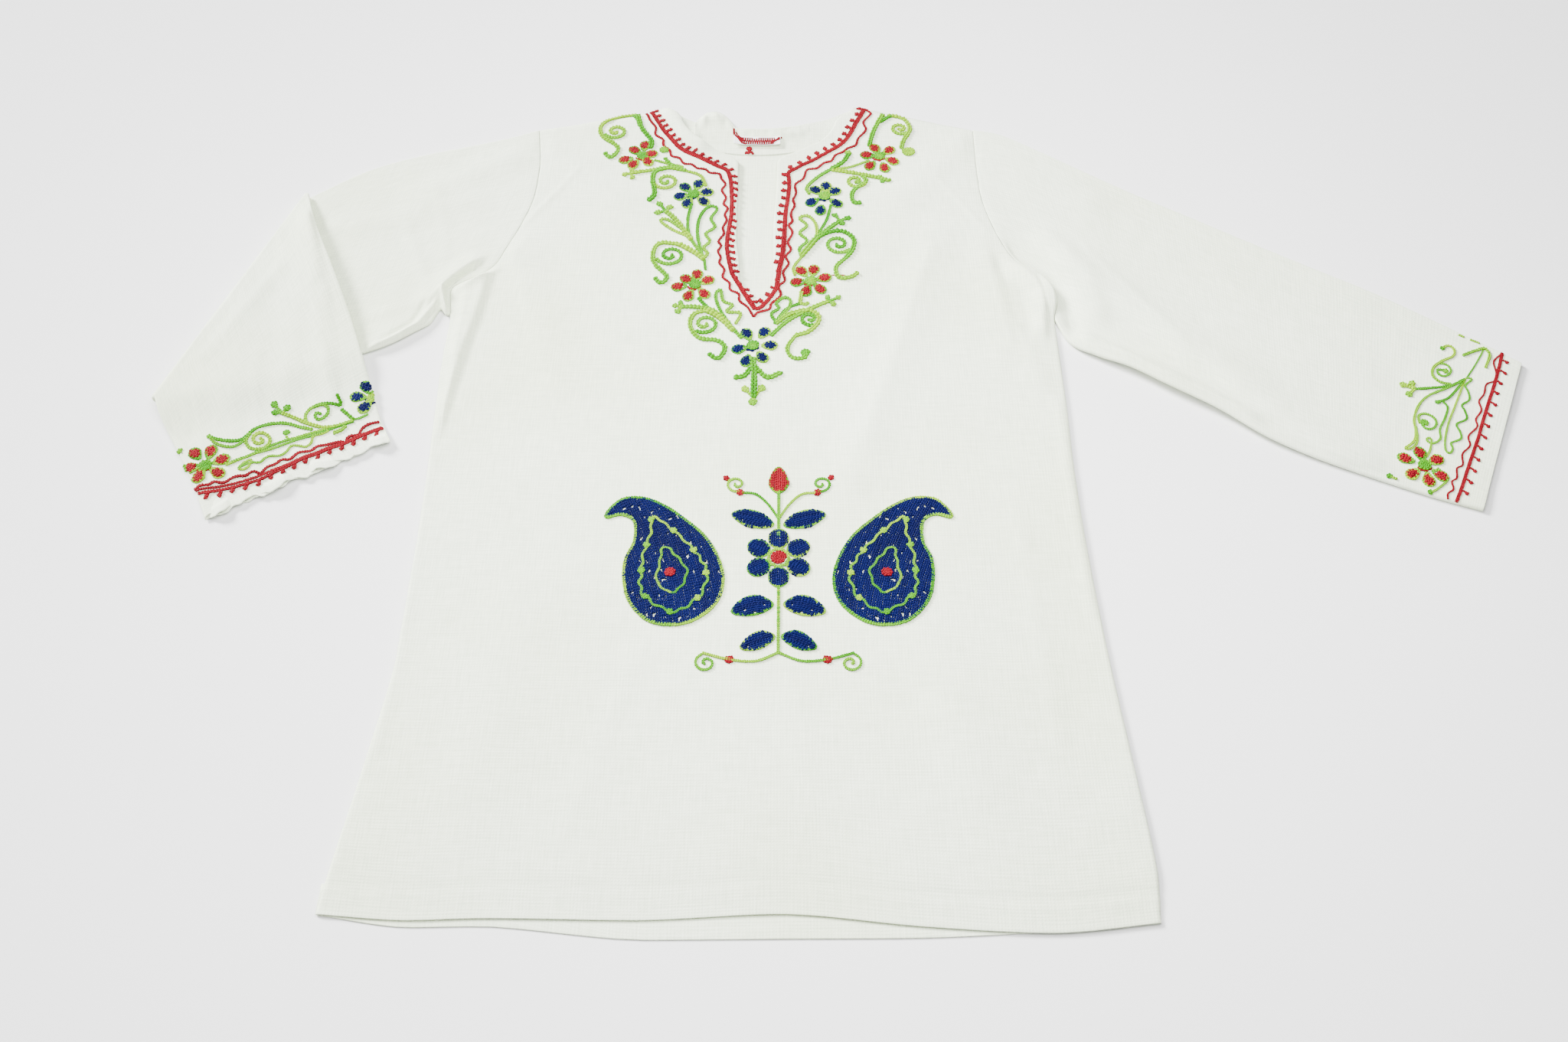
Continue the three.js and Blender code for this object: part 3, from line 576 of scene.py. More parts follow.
def sleeve_plan(table, s, into, down, columns):
    """Plan of a pressed sleeve: for each place s, points from the upper edge to the seam, moved
    back by into at a turned-in end and inwards by down inside it. Returns x, y, the share v, the
    half height of the rounded section and the fifth value."""
    top_x, top_y, seam_x, seam_y, fifth = section_rows(table, s)
    width = np.hypot(seam_x - top_x, seam_y - top_y)
    share = half_across(np.zeros(len(s)), width[:, 0], columns)
    inset = down[:, None] / width
    v = inset + share * (1 - 2 * inset)
    away = np.minimum(share, 1 - share) * width
    half = np.sqrt(1 - (1 - np.clip(away / EDGE_ROUND, 0, 1)) ** 2) * (SLEEVE_HALF - down[:, None])
    x, y = top_x + (seam_x - top_x) * v, top_y + (seam_y - top_y) * v
    before = section_rows(table, s - 0.2)
    back_x = before[0] + (before[2] - before[0]) * v - x
    back_y = before[1] + (before[3] - before[1]) * v - y
    step = into[:, None] / np.maximum(np.hypot(back_x, back_y), 0.01)
    return x + back_x * step, y + back_y * step, v, half, fifth


def cuff_rows(last):
    """Places along the last section of a sleeve for its turned-in end, from the fold inwards."""
    into, down = hem_rows()
    keep = into <= CUFF_DEPTH
    return np.full(keep.sum(), float(last)), into[keep][::-1], down[keep][::-1]


def lying(table, s, into, down, side, folds, columns, margin):
    """Upper and lower layer of a sleeve that lies on the surface, as x, y, two heights and the
    share v. Near the armhole its rows bend to the body's edge. Folds die out over a share of the
    width, which is margin at the seam."""
    x, y, v, half, lift = sleeve_plan(table, s, into, down, columns)
    section = s[:, None]
    bend = np.maximum(0, 1 - section / 2.5) ** 2
    x = x + bend * (body_edge(side, y) + side * SEAM_GAP - x[:1])
    if side < 0:
        y = y + NOTCH[2] * np.exp(-(((x - NOTCH[0]) / NOTCH[1]) ** 2)) * ease((v - 0.88) / 0.12)
    low = lift * ease((v - 1 + LIFT_SHARE) / LIFT_SHARE)
    edge = ease(v / 0.06) * ease((1 - v) / margin) * ease(section / 0.22)
    bumps = edge * (fold_height(folds, x, y) + 0.12 * uneven(x, y, 60, 7) + 0.05 * uneven(x, y, 22, 8))
    groove = (0.55 + 0.25 * uneven(x, y, 9, 12)) * quarter(abs(x - body_edge(side, y)), 2.0)
    mid = low + SLEEVE_HALF
    high = np.maximum(mid + half + bumps - np.minimum(groove, half), mid - 0.7 * half)
    return x, y, high, mid - half, v


def tube_mesh(upper, lower, v, length):
    """Closed ring of points for each row: over the upper layer and back under the lower one. Each
    layer is x, y and height."""
    ring = [np.hstack([a, b[:, -2:0:-1]]) for a, b in zip(upper, lower)]
    points = np.stack(ring, axis=-1).reshape(-1, 3)
    rows, around = ring[0].shape
    n = np.arange(rows * around).reshape(rows, around)
    m = np.roll(n, -1, axis=1)
    faces = np.stack([n[:-1], m[:-1], m[1:], n[1:]], axis=-1).reshape(-1, 4)
    across = np.hstack([v, v[:, -2:0:-1]]) * SLEEVE_WIDTH
    uv = np.stack([across, np.broadcast_to(length[:, None], across.shape)], axis=-1).reshape(-1, 2)
    return points, faces, uv


def along_rows(x, y):
    """Length of cloth from the armhole to each row, measured along the sleeve's middle."""
    middle = x.shape[1] // 2
    return np.concatenate([[0], np.cumsum(np.hypot(np.diff(x[:, middle]), np.diff(y[:, middle])))])


ends, cuff_into, cuff_down = cuff_rows(len(RIGHT_SECTIONS) - 1)
s = np.concatenate([
    [0, 0.02, 0.05, 0.09, 0.14, 0.2], np.linspace(0.26, 2, 40)[:-1], np.linspace(2, 11, 126)[:-1], ends,
])
plain = np.zeros(len(s) - len(ends))
into, down = np.concatenate([plain, cuff_into]), np.concatenate([plain, cuff_down])
x, y, high, low, v = lying(RIGHT_SECTIONS, s, into, down, 1, RIGHT_FOLDS, 54, 0.05)
points, faces, uv = tube_mesh((x, y, high), (x, y, low), v, along_rows(x, y))
right = add_mesh("sleeve_right_cloth", points, faces, cotton, uv)
cloth_under["right"] = BVHTree.FromPolygons((points * MM).tolist(), faces.tolist())
thicken(right, CLOTH)
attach(right, "root")
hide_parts("sleeve_right")

s = np.concatenate([
    [0, 0.02, 0.05, 0.09, 0.14], np.linspace(0.18, 1.6, 46)[:-1], np.linspace(1.6, 5, 44),
])
plain = np.zeros(len(s))
arm_x, arm_y, arm_high, arm_low, arm_v = lying(LEFT_SECTIONS, s, plain, plain, -1, LEFT_FOLDS, 58, 0.022)
fold_turns = np.radians(np.linspace(0, 180, 13)[1:-1])[:, None]
plain = np.zeros(len(fold_turns))
fold_x, fold_y, fold_v, fold_half, _ = sleeve_plan(FOREARM_SECTIONS, plain, plain, plain, 58)
fold_line = FOREARM_SECTIONS[0, 2:4] - FOREARM_SECTIONS[0, :2]
outward = np.array([fold_line[1], -fold_line[0]]) / np.hypot(*fold_line)


def turned(x, y, z, angle):
    """Turns points of the folded part about a line above the elbow fold."""
    out = (FOLD_CENTRE - z) * np.sin(angle)
    return x + outward[0] * out, y + outward[1] * out, FOLD_CENTRE - (FOLD_CENTRE - z) * np.cos(angle)


curl_high = turned(fold_x, fold_y, SLEEVE_HALF + fold_half, fold_turns)
curl_low = turned(fold_x, fold_y, SLEEVE_HALF - fold_half, fold_turns)
ends, cuff_into, cuff_down = cuff_rows(len(FOREARM_SECTIONS) - 1)
s = np.concatenate([np.linspace(0, 7, 84)[:-1], ends])
plain = np.zeros(len(s) - len(ends))
into, down = np.concatenate([plain, cuff_into]), np.concatenate([plain, cuff_down])
x, y, v, half, arch = sleeve_plan(FOREARM_SECTIONS, s, into, down, 58)
edge = ease(v / 0.03) * ease((1 - v) / 0.05)
bumps = fold_height(FOREARM_FOLDS, x, y) + fold_height(FOREARM_CREASES, x, y)
bumps = edge * (bumps + 0.12 * uneven(x, y, 60, 9) + 0.05 * uneven(x, y, 22, 10))
(drop_x, drop_y), (end_x, end_y), drop_over = FOREARM_DROP
past = (x - drop_x) * (drop_y - end_y) + (y - drop_y) * (end_x - drop_x)
past = past / math.hypot(end_x - drop_x, end_y - drop_y)
lift = arch * (1 - ease(v / 0.4)) - 2 * FOLD_RADIUS * ease(past / drop_over)
cuff_x, cuff_y = FOREARM_SECTIONS[-1, :2]
cuff_line = FOREARM_SECTIONS[-1, 2:4] - (cuff_x, cuff_y)
cuff_away = abs((x - cuff_x) * cuff_line[1] - (y - cuff_y) * cuff_line[0]) / np.hypot(*cuff_line)
waves, ruffle_height, ruffle_reach, sway_width = CUFF_WAVE
near_cuff = ease(1 - cuff_away / ruffle_reach)
wave = 2 * math.pi * waves * v
ruffle = ruffle_height * near_cuff * (1 + np.sin(wave + 0.8 * np.sin(wave * 0.6)))
sway, sway_under = [
    sway_width * near_cuff * (
        np.sin(wave * a + b) + 0.6 * np.sin(wave * 2.1 * a) + 0.3 * np.sin(wave * 4.7 + b))
    for a, b in ((0.9, 1), (1.2, 2.6))
]
# the forearm is turned over, so the layer that lies below on the arm faces up on it
up_x, up_y, up_z = turned(
    x + 0.45 * sway_under, y - 0.9 * sway_under, SLEEVE_HALF - half - bumps, math.pi)
down_x, down_y, down_z = turned(x + 0.45 * sway, y - 0.9 * sway, SLEEVE_HALF + half, math.pi)
outer = [np.vstack(part) for part in zip(
    (arm_x, arm_y, arm_high), curl_high, (down_x, down_y, down_z + lift + 0.8 * ruffle))]
inner = [np.vstack(part) for part in zip(
    (arm_x, arm_y, arm_low), curl_low, (up_x, up_y, up_z + lift - 0.1 * ruffle))]
points, faces, uv = tube_mesh(outer, inner, np.vstack([arm_v, fold_v, v]), along_rows(*outer[:2]))
left = add_mesh("sleeve_left_cloth", points, faces[:, ::-1], cotton, uv)
cloth_under["left"] = BVHTree.FromPolygons((points * MM).tolist(), faces.tolist())
thicken(left, CLOTH)
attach(left, "root")
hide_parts("sleeve_left")


# ---------------------------------------------------------------- back neck facing
# A narrow curved strip of the same cotton, stitched inside the back neck. Its left part has
# turned up past the neck edge.
FACING = (-43, 44, 25)  # from x, to x, depth
FACING_UP = (-42, -15, 16.5, 2.2)  # from x, to x, height past the edge, rise
# as in the back's table
FACING_FOLDS = [
    (2.2, 1.5, -1.0, (-41, 272), (-39, 262), (-35, 254)),
    (2.5, 2.0, 1.5, (-36, 278), (-34, 264), (-30, 252)),
    (1.6, 2.0, 1.2, (-28, 281), (-25, 264), (-20, 250)), (1.6, 1.6, -0.9, (-22, 274), (-21, 258)),
]
across = np.linspace(FACING[0], FACING[1], 90)
t = np.linspace(0, 1, 24)[None, :]
point_x, point_y = np.where(across[:, None] < CENTRE_X, NECK_POINT[-1], NECK_POINT[1]).T
share = (across - CENTRE_X) / (point_x - CENTRE_X)
neck_edge = BACK_NECK_Y + (point_y - BACK_NECK_Y) * share**NECK_CURVE
turned_up = np.clip((across - FACING_UP[0]) / (FACING_UP[1] - FACING_UP[0]), 0, 1)
up = (np.sin(math.pi * turned_up) ** 0.8)[:, None]
x = across[:, None] + 1.6 * up * np.sin(math.pi * t) * np.sin(across / 4)[:, None]
y = neck_edge[:, None] - FACING[2] + (FACING[2] - 1 + FACING_UP[2] * up) * t
past_edge = ease((t - 0.5) / 0.35)
z = 0.8 + past_edge * (0.9 + FACING_UP[3] * up * np.sin(math.pi * (2 * t - 1)))
z = z + past_edge * fold_height(FACING_FOLDS, x, y) + fold_height(BACK_FOLDS, x, y)
z = z + 0.22 * uneven(x, y, 9, 21) * ease(t / 0.3) * ease((1 - t) / 0.06) * (0.3 + 0.7 * past_edge)
# its right end lies flush with the back
z = z - 1.4 * ease(1 - (FACING[1] - across) / 24)[:, None] * (0.35 + 0.65 * past_edge)
points = np.stack([x, y, z], axis=-1).reshape(-1, 3)
faces = grid_faces(x.shape)
facing = thicken(add_mesh("neck_facing_cloth", points, faces, cotton, points[:, :2]), CLOTH)
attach(facing, "root")
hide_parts("back_neck_facing")


# ---------------------------------------------------------------- label
# A bare white woven tape across the inside of the neck, tacked down with red thread. Its two ends
# curl up a little.
LABEL_AT = (0.6, 256.0, 2.4)
LABEL_SIZE = (32, 8.5)
LABEL_TURN = math.radians(-1.5)
# Polyester yarn in a dense weave: a faint gloss and fine ribs. The ribs are drawn 1.2 mm apart,
# because finer ones would not show.
RIB_PITCH = 1.2
tape, tree = new_material("woven_polyester_tape")
cloth_uv = add_node(tree, "ShaderNodeUVMap", {}, uv_map="cloth").outputs["UV"]
ribs = add_node(tree, "ShaderNodeTexWave", {
    "Vector": cloth_uv, "Scale": 1000 / RIB_PITCH / 10 * math.pi, "Distortion": 0.4,
}, wave_type="BANDS", bands_direction="X").outputs["Fac"]
rib_normal = add_node(tree, "ShaderNodeBump", {"Height": ribs, "Strength": 0.6, "Distance": 0.0001})
shader = add_node(tree, "ShaderNodeBsdfPrincipled", {
    "Base Color": linear("#F6F6F4"), "Roughness": 0.55, "Normal": rib_normal.outputs["Normal"],
})
add_node(tree, "ShaderNodeOutputMaterial", {"Surface": shader.outputs["BSDF"]})
a, b = np.meshgrid(np.linspace(-0.5, 0.5, 60), np.linspace(-0.5, 0.5, 14), indexing="ij")


def label_place(a, b, above):
    """Point of the label at shares a along and b across: turned by LABEL_TURN, with ends that
    curl up by the fourth power of the way from the middle."""
    u, w = a * LABEL_SIZE[0], b * LABEL_SIZE[1]
    curl = 0.7 * abs(2 * a) ** 4 + 0.15 * np.sin(a * 17) * b
    return np.stack([
        LABEL_AT[0] + u * math.cos(LABEL_TURN) - w * math.sin(LABEL_TURN),
        LABEL_AT[1] + u * math.sin(LABEL_TURN) + w * math.cos(LABEL_TURN) + 5.2 * abs(a) ** 2.5,
        LABEL_AT[2] + curl + above,
    ], axis=-1)


facing_points, facing_faces = points, faces
points = label_place(a, b, 0.3).reshape(-1, 3)
faces = grid_faces(a.shape)
uv = np.stack([a * LABEL_SIZE[0], b * LABEL_SIZE[1]], axis=-1).reshape(-1, 2)
label = thicken(add_mesh("label_tape", points, faces, tape, uv), 0.25)
cloth_under["label"] = BVHTree.FromPolygons(
    (np.vstack([points, facing_points]) * MM).tolist(),
    np.vstack([faces, facing_faces + len(points)]).tolist())
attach(label, "root")
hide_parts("label")


# ---------------------------------------------------------------- neck embroidery
# Hand-guided chain stitch in stranded cotton: a double red line with hooked ticks and a thin wavy
# one outside it, then vines, leaves and spirals in lime that changes shade along the thread, and
# flowers in red and navy. Each chain is a loop of two strands that leaves the point of the one
# before it.
# ring of a strand: share of the stitch along, widths aside, widths up, radius in widths
STRAND_RINGS = np.array([(-0.04, 0.22, 0.2, 0.35), (0.5, 0.46, 0.44, 0.46), (1.12, 0.2, 0.26, 0.33)])
STITCH_STEP = 1.15  # length of a stitch in widths
STEEPEST = 1.2  # a stitch that would drop further than this, over an edge of cloth, is left out


def chain_template():
    """One chain stitch, as points (share along, widths aside, widths up) and faces. It is two
    strands, mirrored to each other, with square rings and closed ends."""
    turn = np.radians([45, 135, 225, 315])
    along, aside, up, radius = STRAND_RINGS.T[:, None, :, None]
    leg = np.array([-1, 1])[:, None, None]
    points = np.stack(np.broadcast_arrays(
        along, leg * aside + radius * np.cos(turn), up + radius * np.sin(turn)), axis=-1)
    n = np.arange(points[..., 0].size).reshape(points.shape[:3])
    m = np.roll(n, -1, axis=2)
    sides = np.stack([n[:, :-1], m[:, :-1], m[:, 1:], n[:, 1:]], axis=-1).reshape(-1, 4)
    return points.reshape(-1, 3), np.vstack([sides, n[:, 0, ::-1], n[:, -1]])


CHAIN_POINTS, CHAIN_FACES = chain_template()


def curve(points, closed=False):
    """Smooth path through the points: a Catmull-Rom spline with 16 steps between two of them."""
    p = np.array(points, float)
    ends = (p[-1:], p[:2]) if closed else (2 * p[:1] - p[1:2], 2 * p[-1:] - p[-2:-1])
    p = np.vstack([ends[0], p, ends[1]])
    t = np.linspace(0, 1, 16, endpoint=False)[None, :, None]
    a, b, c, d = [p[i:len(p) - 3 + i, None] for i in range(4)]
    way = b + 0.5 * ((c - a) * t + (2 * a - 5 * b + 4 * c - d) * t**2 + (3 * b - a - 3 * c + d) * t**3)
    return np.vstack([way.reshape(-1, 2), p[-2]])


def spaced(path, pitch):
    """Points on a path at equal steps near the pitch."""
    along = np.concatenate([[0], np.cumsum(np.hypot(*np.diff(path, axis=0).T))])
    at = np.linspace(0, along[-1], max(1, round(along[-1] / pitch)) + 1)
    return np.column_stack([np.interp(at, along, path[:, 0]), np.interp(at, along, path[:, 1])])


def beside(path, aside):
    """The path moved to its left by aside, which may change along it."""
    way = np.gradient(path, axis=0)
    way = way / np.hypot(*way.T)[:, None]
    return path + np.column_stack([-way[:, 1], way[:, 0]]) * np.reshape(aside, (-1, 1))


def wavy(path, period, height):
    """The path with sine waves of that period and height, a little uneven."""
    path = spaced(path, 0.6)
    along = np.arange(len(path)) * 0.6
    wave = np.sin(2 * math.pi * along / period + 0.9 * np.sin(along / period * 1.3))
    return beside(path, height * wave * (0.85 + 0.3 * np.sin(along / 17)))


def curl(x, y, start, radius, turns):
    """Spiral towards x, y from the start angle, a little flatter than round. Its radius falls
    almost evenly to 0.5 mm."""
    t = np.linspace(0, 1, 70)
    angle = math.radians(start) + 2 * math.pi * turns * t
    r = radius * (1 - t) ** 0.85 + 0.5
    return np.column_stack([x + r * np.cos(angle), y + 0.92 * r * np.sin(angle)])


def strokes(*rows):
    """Smooth lines of stitches, from rows of a width and then the points."""
    return [(curve(points), width) for width, *points in rows]


def knots(width, *spots):
    """Small filled spots, each a tight spiral of stitches, from rows of x, y and radius."""
    return [
        (curl(x, y, (x * 53 + y * 31) % 360, max(radius - 0.5, 0.4), max(1, radius)), width)
        for x, y, radius in spots
    ]


def ticks(path, every, length, hook, width, spot, spot_width):
    """Short strokes to the left of a path, each bent forward by hook at its end, and a spot of the
    radius spot on each end."""
    places = spaced(path, every)
    way = np.gradient(places, axis=0)
    way = way / np.hypot(*way.T)[:, None]
    left = np.column_stack([-way[:, 1], way[:, 0]])
    jitter = np.random.default_rng(len(places)).uniform(0.85, 1.15, len(places))
    lines = strokes(*[
        (width, p, p + n * length * 0.6 * j, p + n * length * j + w * hook)
        for p, w, n, j in zip(places[1:-1], way[1:-1], left[1:-1], jitter)
    ])
    return lines + knots(spot_width, *[(*line[-1], spot) for line, _ in lines])


def flower(own, ring, x, y, petals):
    """Adds a flower to two lists of lines: to own the petals' solid spots and a zigzag round the
    middle, and to ring the petals' rings, which reach in to the middle, and the middle."""
    for k, (px, py) in enumerate(petals):
        out = np.array([px - x, py - y], float)
        out /= np.hypot(*out)
        side = np.array([-out[1], out[0]])
        centre = np.array([px, py], float)
        spot = curl(0, 0, 40 * k, 1.75, 2.0)
        own.append((centre + spot[:, :1] * out * 1.55 + spot[:, 1:] * side * 1.2, 1.6))
        ring.append((curve([
            centre - out * 5.6, centre - out * 1.2 + side * 2.7, centre + out * 1.5 + side * 2.9,
            centre + out * 3.8, centre + out * 1.5 - side * 2.9, centre - out * 1.2 - side * 2.7,
        ], closed=True), 1.2))
    own.append((wavy(curl(x, y, 200, 4.65, 0.8), 3.2, 0.7), 0.9))
    ring.append((curl(x, y, 20, 3.1, 3.0), 1.5))


def sprig(x, y, *buds):
    """Short stalks from a stem's end to each bud, and the buds as knots."""
    stalks = [(curve([(x, y), (bud_x, bud_y)]), 1.4) for bud_x, bud_y, _ in buds]
    return stalks + knots(1.45, *buds)


def threads(name, lines, cloth, material, lift=0.04):
    """One mesh of chain stitches along lines of (path, width in mm). Each end of a stitch lies on
    the cloth right below it, found with a ray, and the stitch turns with the cloth there. The
    shade of a stitch depends on how much thread was used before it."""
    starts, ends, widths, used = [], [], [], []
    total = 0.0
    for path, width in lines:
        places = spaced(path, width * STITCH_STEP)
        starts.append(places[:-1])
        ends.append(places[1:])
        widths.append(np.full(len(places) - 1, width))
        length = np.hypot(*(places[1:] - places[:-1]).T)
        used.append(total + np.cumsum(length))
        total += length.sum()
    starts, ends = np.vstack(starts), np.vstack(ends)
    width, used = np.concatenate(widths), np.concatenate(used)
    rng = np.random.default_rng(len(starts))
    width = width * rng.uniform(0.9, 1.1, len(width))
    hits = [[cloth.ray_cast(Vector((x * MM, y * MM, 0.1)), Vector((0, 0, -1))) for x, y in side]
            for side in (starts, ends)]
    keep = np.array([a[0] is not None and b[0] is not None for a, b in zip(*hits)])
    hits = [[hit for hit, on in zip(side, keep) if on] for side in hits]
    start, end = [np.array([hit[0] for hit in side]) / MM for side in hits]
    up = np.array([hit[1] * (1 if hit[1].z > 0 else -1) for hit in hits[0]])
    width, used = width[keep], used[keep]
    flat = abs(end[:, 2] - start[:, 2]) < STEEPEST
    start, end, up, width, used = start[flat], end[flat], up[flat], width[flat], used[flat]
    along = end - start
    side = np.cross(up, along)
    side /= np.linalg.norm(side, axis=1)[:, None]
    side = side + 0.12 * rng.normal(size=(len(side), 1)) * along / np.linalg.norm(along, axis=1)[:, None]
    t = CHAIN_POINTS
    points = (start[:, None] + along[:, None] * t[None, :, :1]
              + side[:, None] * t[None, :, 1:2] * width[:, None, None]
              + up[:, None] * (t[None, :, 2:] * width[:, None, None] + lift))
    count = len(t)
    faces = (CHAIN_FACES[None] + count * np.arange(len(start))[:, None, None]).reshape(-1, 4)
    piece = add_mesh(name, points.reshape(-1, 3), faces, material, shade=np.repeat(used, count))
    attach(piece, "root")


def thread_material(name, stops, period):
    """Stranded cotton: nearly matt, with specks where the strands part. Its colour runs through
    the stops and back over each period of thread used, in millimetres."""
    material, tree = new_material(name)
    shade = add_node(tree, "ShaderNodeAttribute", {}, attribute_name="shade").outputs["Fac"]
    share = add_node(tree, "ShaderNodeMath", {0: shade, 1: period}, operation="PINGPONG").outputs[0]
    share = add_node(tree, "ShaderNodeMath", {0: share, 1: period}, operation="DIVIDE").outputs[0]
    place = add_node(tree, "ShaderNodeTexCoord", {}).outputs["Object"]
    speck = add_node(tree, "ShaderNodeTexNoise", {"Vector": place, "Scale": 1400.0}).outputs["Fac"]
    speck = add_node(tree, "ShaderNodeMapRange", {
        "Value": speck, "From Min": 0.3, "From Max": 0.7, "To Min": 0.82, "To Max": 1.1,
    }).outputs["Result"]
    ramp = add_node(tree, "ShaderNodeValToRGB", {"Fac": share})
    for k, (at, colour) in enumerate(stops):
        stop = ramp.color_ramp.elements[k] if k < 2 else ramp.color_ramp.elements.new(at)
        stop.position = at
        stop.color = linear(colour)
    colour = add_node(tree, "ShaderNodeMix", {
        "Factor": 1.0, 6: ramp.outputs["Color"], 7: speck,
    }, data_type="RGBA", blend_type="MULTIPLY").outputs[2]
    shader = add_node(tree, "ShaderNodeBsdfPrincipled", {
        "Base Color": colour, "Roughness": 0.7, "Specular IOR Level": 0.08,
    })
    add_node(tree, "ShaderNodeOutputMaterial", {"Surface": shader.outputs["BSDF"]})
    return material


red_cotton = thread_material("stranded_cotton_red", [(0.0, "#700614"), (1.0, "#800A1A")], 40)
navy_cotton = thread_material("stranded_cotton_navy", [(0.0, "#000434"), (1.0, "#000840")], 40)
lime_cotton = thread_material("stranded_cotton_variegated_lime", [
    (0.0, "#307E04"), (1.0, "#8AB204"), (0.35, "#4E9604"), (0.7, "#72A604"),
], 85)

red_lines = []
# side, the double line's points from the shoulder to the slit's end, the wavy line's
for side, thick, thin in (
    (-1, [(-76, 290), (-72.5, 283.5), (-68, 274), (-63.5, 265), (-58, 256.5), (-53, 249), (-47, 243.5),
          (-39, 238.5), (-32, 233.5), (-25.5, 229), (-19.5, 225), (-17, 216.5), (-16, 205.5),
          (-15.5, 194.5), (-15.5, 183.5), (-16.5, 173), (-17.5, 162.5), (-18, 153.5), (-17, 144.5),
          (-15.5, 135.5), (-13.5, 127.5), (-9, 118), (-4.5, 108.5), (1, 98)],
     [(-79, 288), (-76, 282), (-73.5, 275.5), (-69.5, 268.5), (-69.5, 261.5), (-64, 256.5),
      (-63.5, 250.5), (-59, 245.5), (-57.5, 239.5), (-52, 237.5), (-49, 232), (-43.5, 231),
      (-39.5, 227), (-34, 226), (-31, 222.5), (-24.5, 221.5), (-23, 216.5), (-20, 211),
      (-22.5, 205.5), (-19.5, 198.5), (-21, 192.5), (-18, 188.5), (-20, 182.5), (-18.5, 177),
      (-21, 170), (-20, 164.5), (-23.5, 157.5), (-21.5, 153.5), (-23.5, 148.5), (-21.5, 142.5),
      (-22.5, 138), (-19, 132), (-20, 125.5), (-15.5, 120.5), (-15, 114.5), (-9.5, 111),
      (-9, 105), (-4, 100), (0, 91.5)]),
    (1, [(78, 295), (75, 289), (72.5, 281.5), (68.5, 272.5), (65, 263.5), (61, 255.5), (56, 249.5),
         (50, 244.5), (44, 239.5), (37.5, 234.5), (31.5, 230.5), (26, 226), (22, 222.5),
         (22.5, 211), (21.5, 197), (20, 183.5), (19.5, 170.5), (19, 157.5), (18, 144.5), (16, 132),
         (14.5, 118), (12.5, 112), (8.5, 105), (4.5, 99.5), (1, 98)],
     [(77, 293), (77, 287.5), (79.5, 283), (74, 274), (75.5, 266), (70, 257.5), (68, 250.5),
      (62.5, 247.5), (59, 243.5), (54, 240.5), (51, 234.5), (46, 232.5), (41, 227), (34.5, 225.5),
      (32, 217), (26.5, 211), (27, 202.5), (25, 196), (26, 190.5), (23.5, 183), (24.5, 175.5),
      (22, 172), (24.5, 165), (21.5, 156), (23.5, 149.5), (20, 143.5), (22, 137), (18.5, 129.5),
      (19.5, 122), (15.5, 117), (17, 109.5), (11, 102.5), (10, 98), (2.5, 95), (0.5, 91.5)]),
):
    way = spaced(curve(thick), 0.8)
    share = np.linspace(0, 1, len(way))
    apart = 0.5 + 0.3 * np.maximum(0, np.sin(9 * share + side))
    red_lines += [(beside(way, apart), 1.25), (beside(way, -apart), 1.25)]
    inner = way if side < 0 else way[::-1]  # with the opening to its left, where the ticks point
    every, length, hook, spot = (6.0, 3.8, 1.0, 0.9) if side < 0 else (7.4, 3.6, 0.4, 1.4)
    red_lines += ticks(inner, every, length, hook, 1.45, spot, 1.35)
    red_lines.append((curve(thin), 1.2))
red_lines += strokes((0.45, (45, 125), (50, 127), (58, 127)))  # a loose thread end

lime_lines = []
navy_lines = []
# a flower's own colour, middle, then its petals
for colour_lines, x, y, petals in (
    (red_lines, -77, 239.5, [
        (-83, 245.5), (-76, 250.5), (-71, 241.5), (-73, 233.5), (-83, 230.5), (-89, 235.5)]),
    (navy_lines, -41, 201.5, [
        (-47, 208.5), (-38, 211.5), (-32, 203.5), (-34, 194.5), (-45, 192.5), (-50, 199.5)]),
    (red_lines, -37, 118.5, [
        (-43, 123.5), (-36, 127.5), (-29, 122.5), (-31, 110.5), (-41, 108.5), (-48, 116.5)]),
    (navy_lines, 0, 67.5, [
        (-4, 77.5), (7, 78.5), (11, 67.5), (6, 57.5), (-4, 54.5), (-9, 64.5)]),
    (red_lines, 84, 239.5, [
        (81, 247.5), (91, 245.5), (93, 234.5), (87, 227.5), (77, 229.5), (75, 240.5)]),
    (navy_lines, 46, 199.5, [
        (40, 205.5), (47, 209.5), (53, 204.5), (54, 192.5), (43, 185.5), (37, 193.5)]),
    (red_lines, 36, 121.5, [
        (30, 130.5), (38, 131.5), (45, 124.5), (42, 114.5), (33, 112.5), (27, 120.5)]),
):
    flower(colour_lines, lime_lines, x, y, petals)
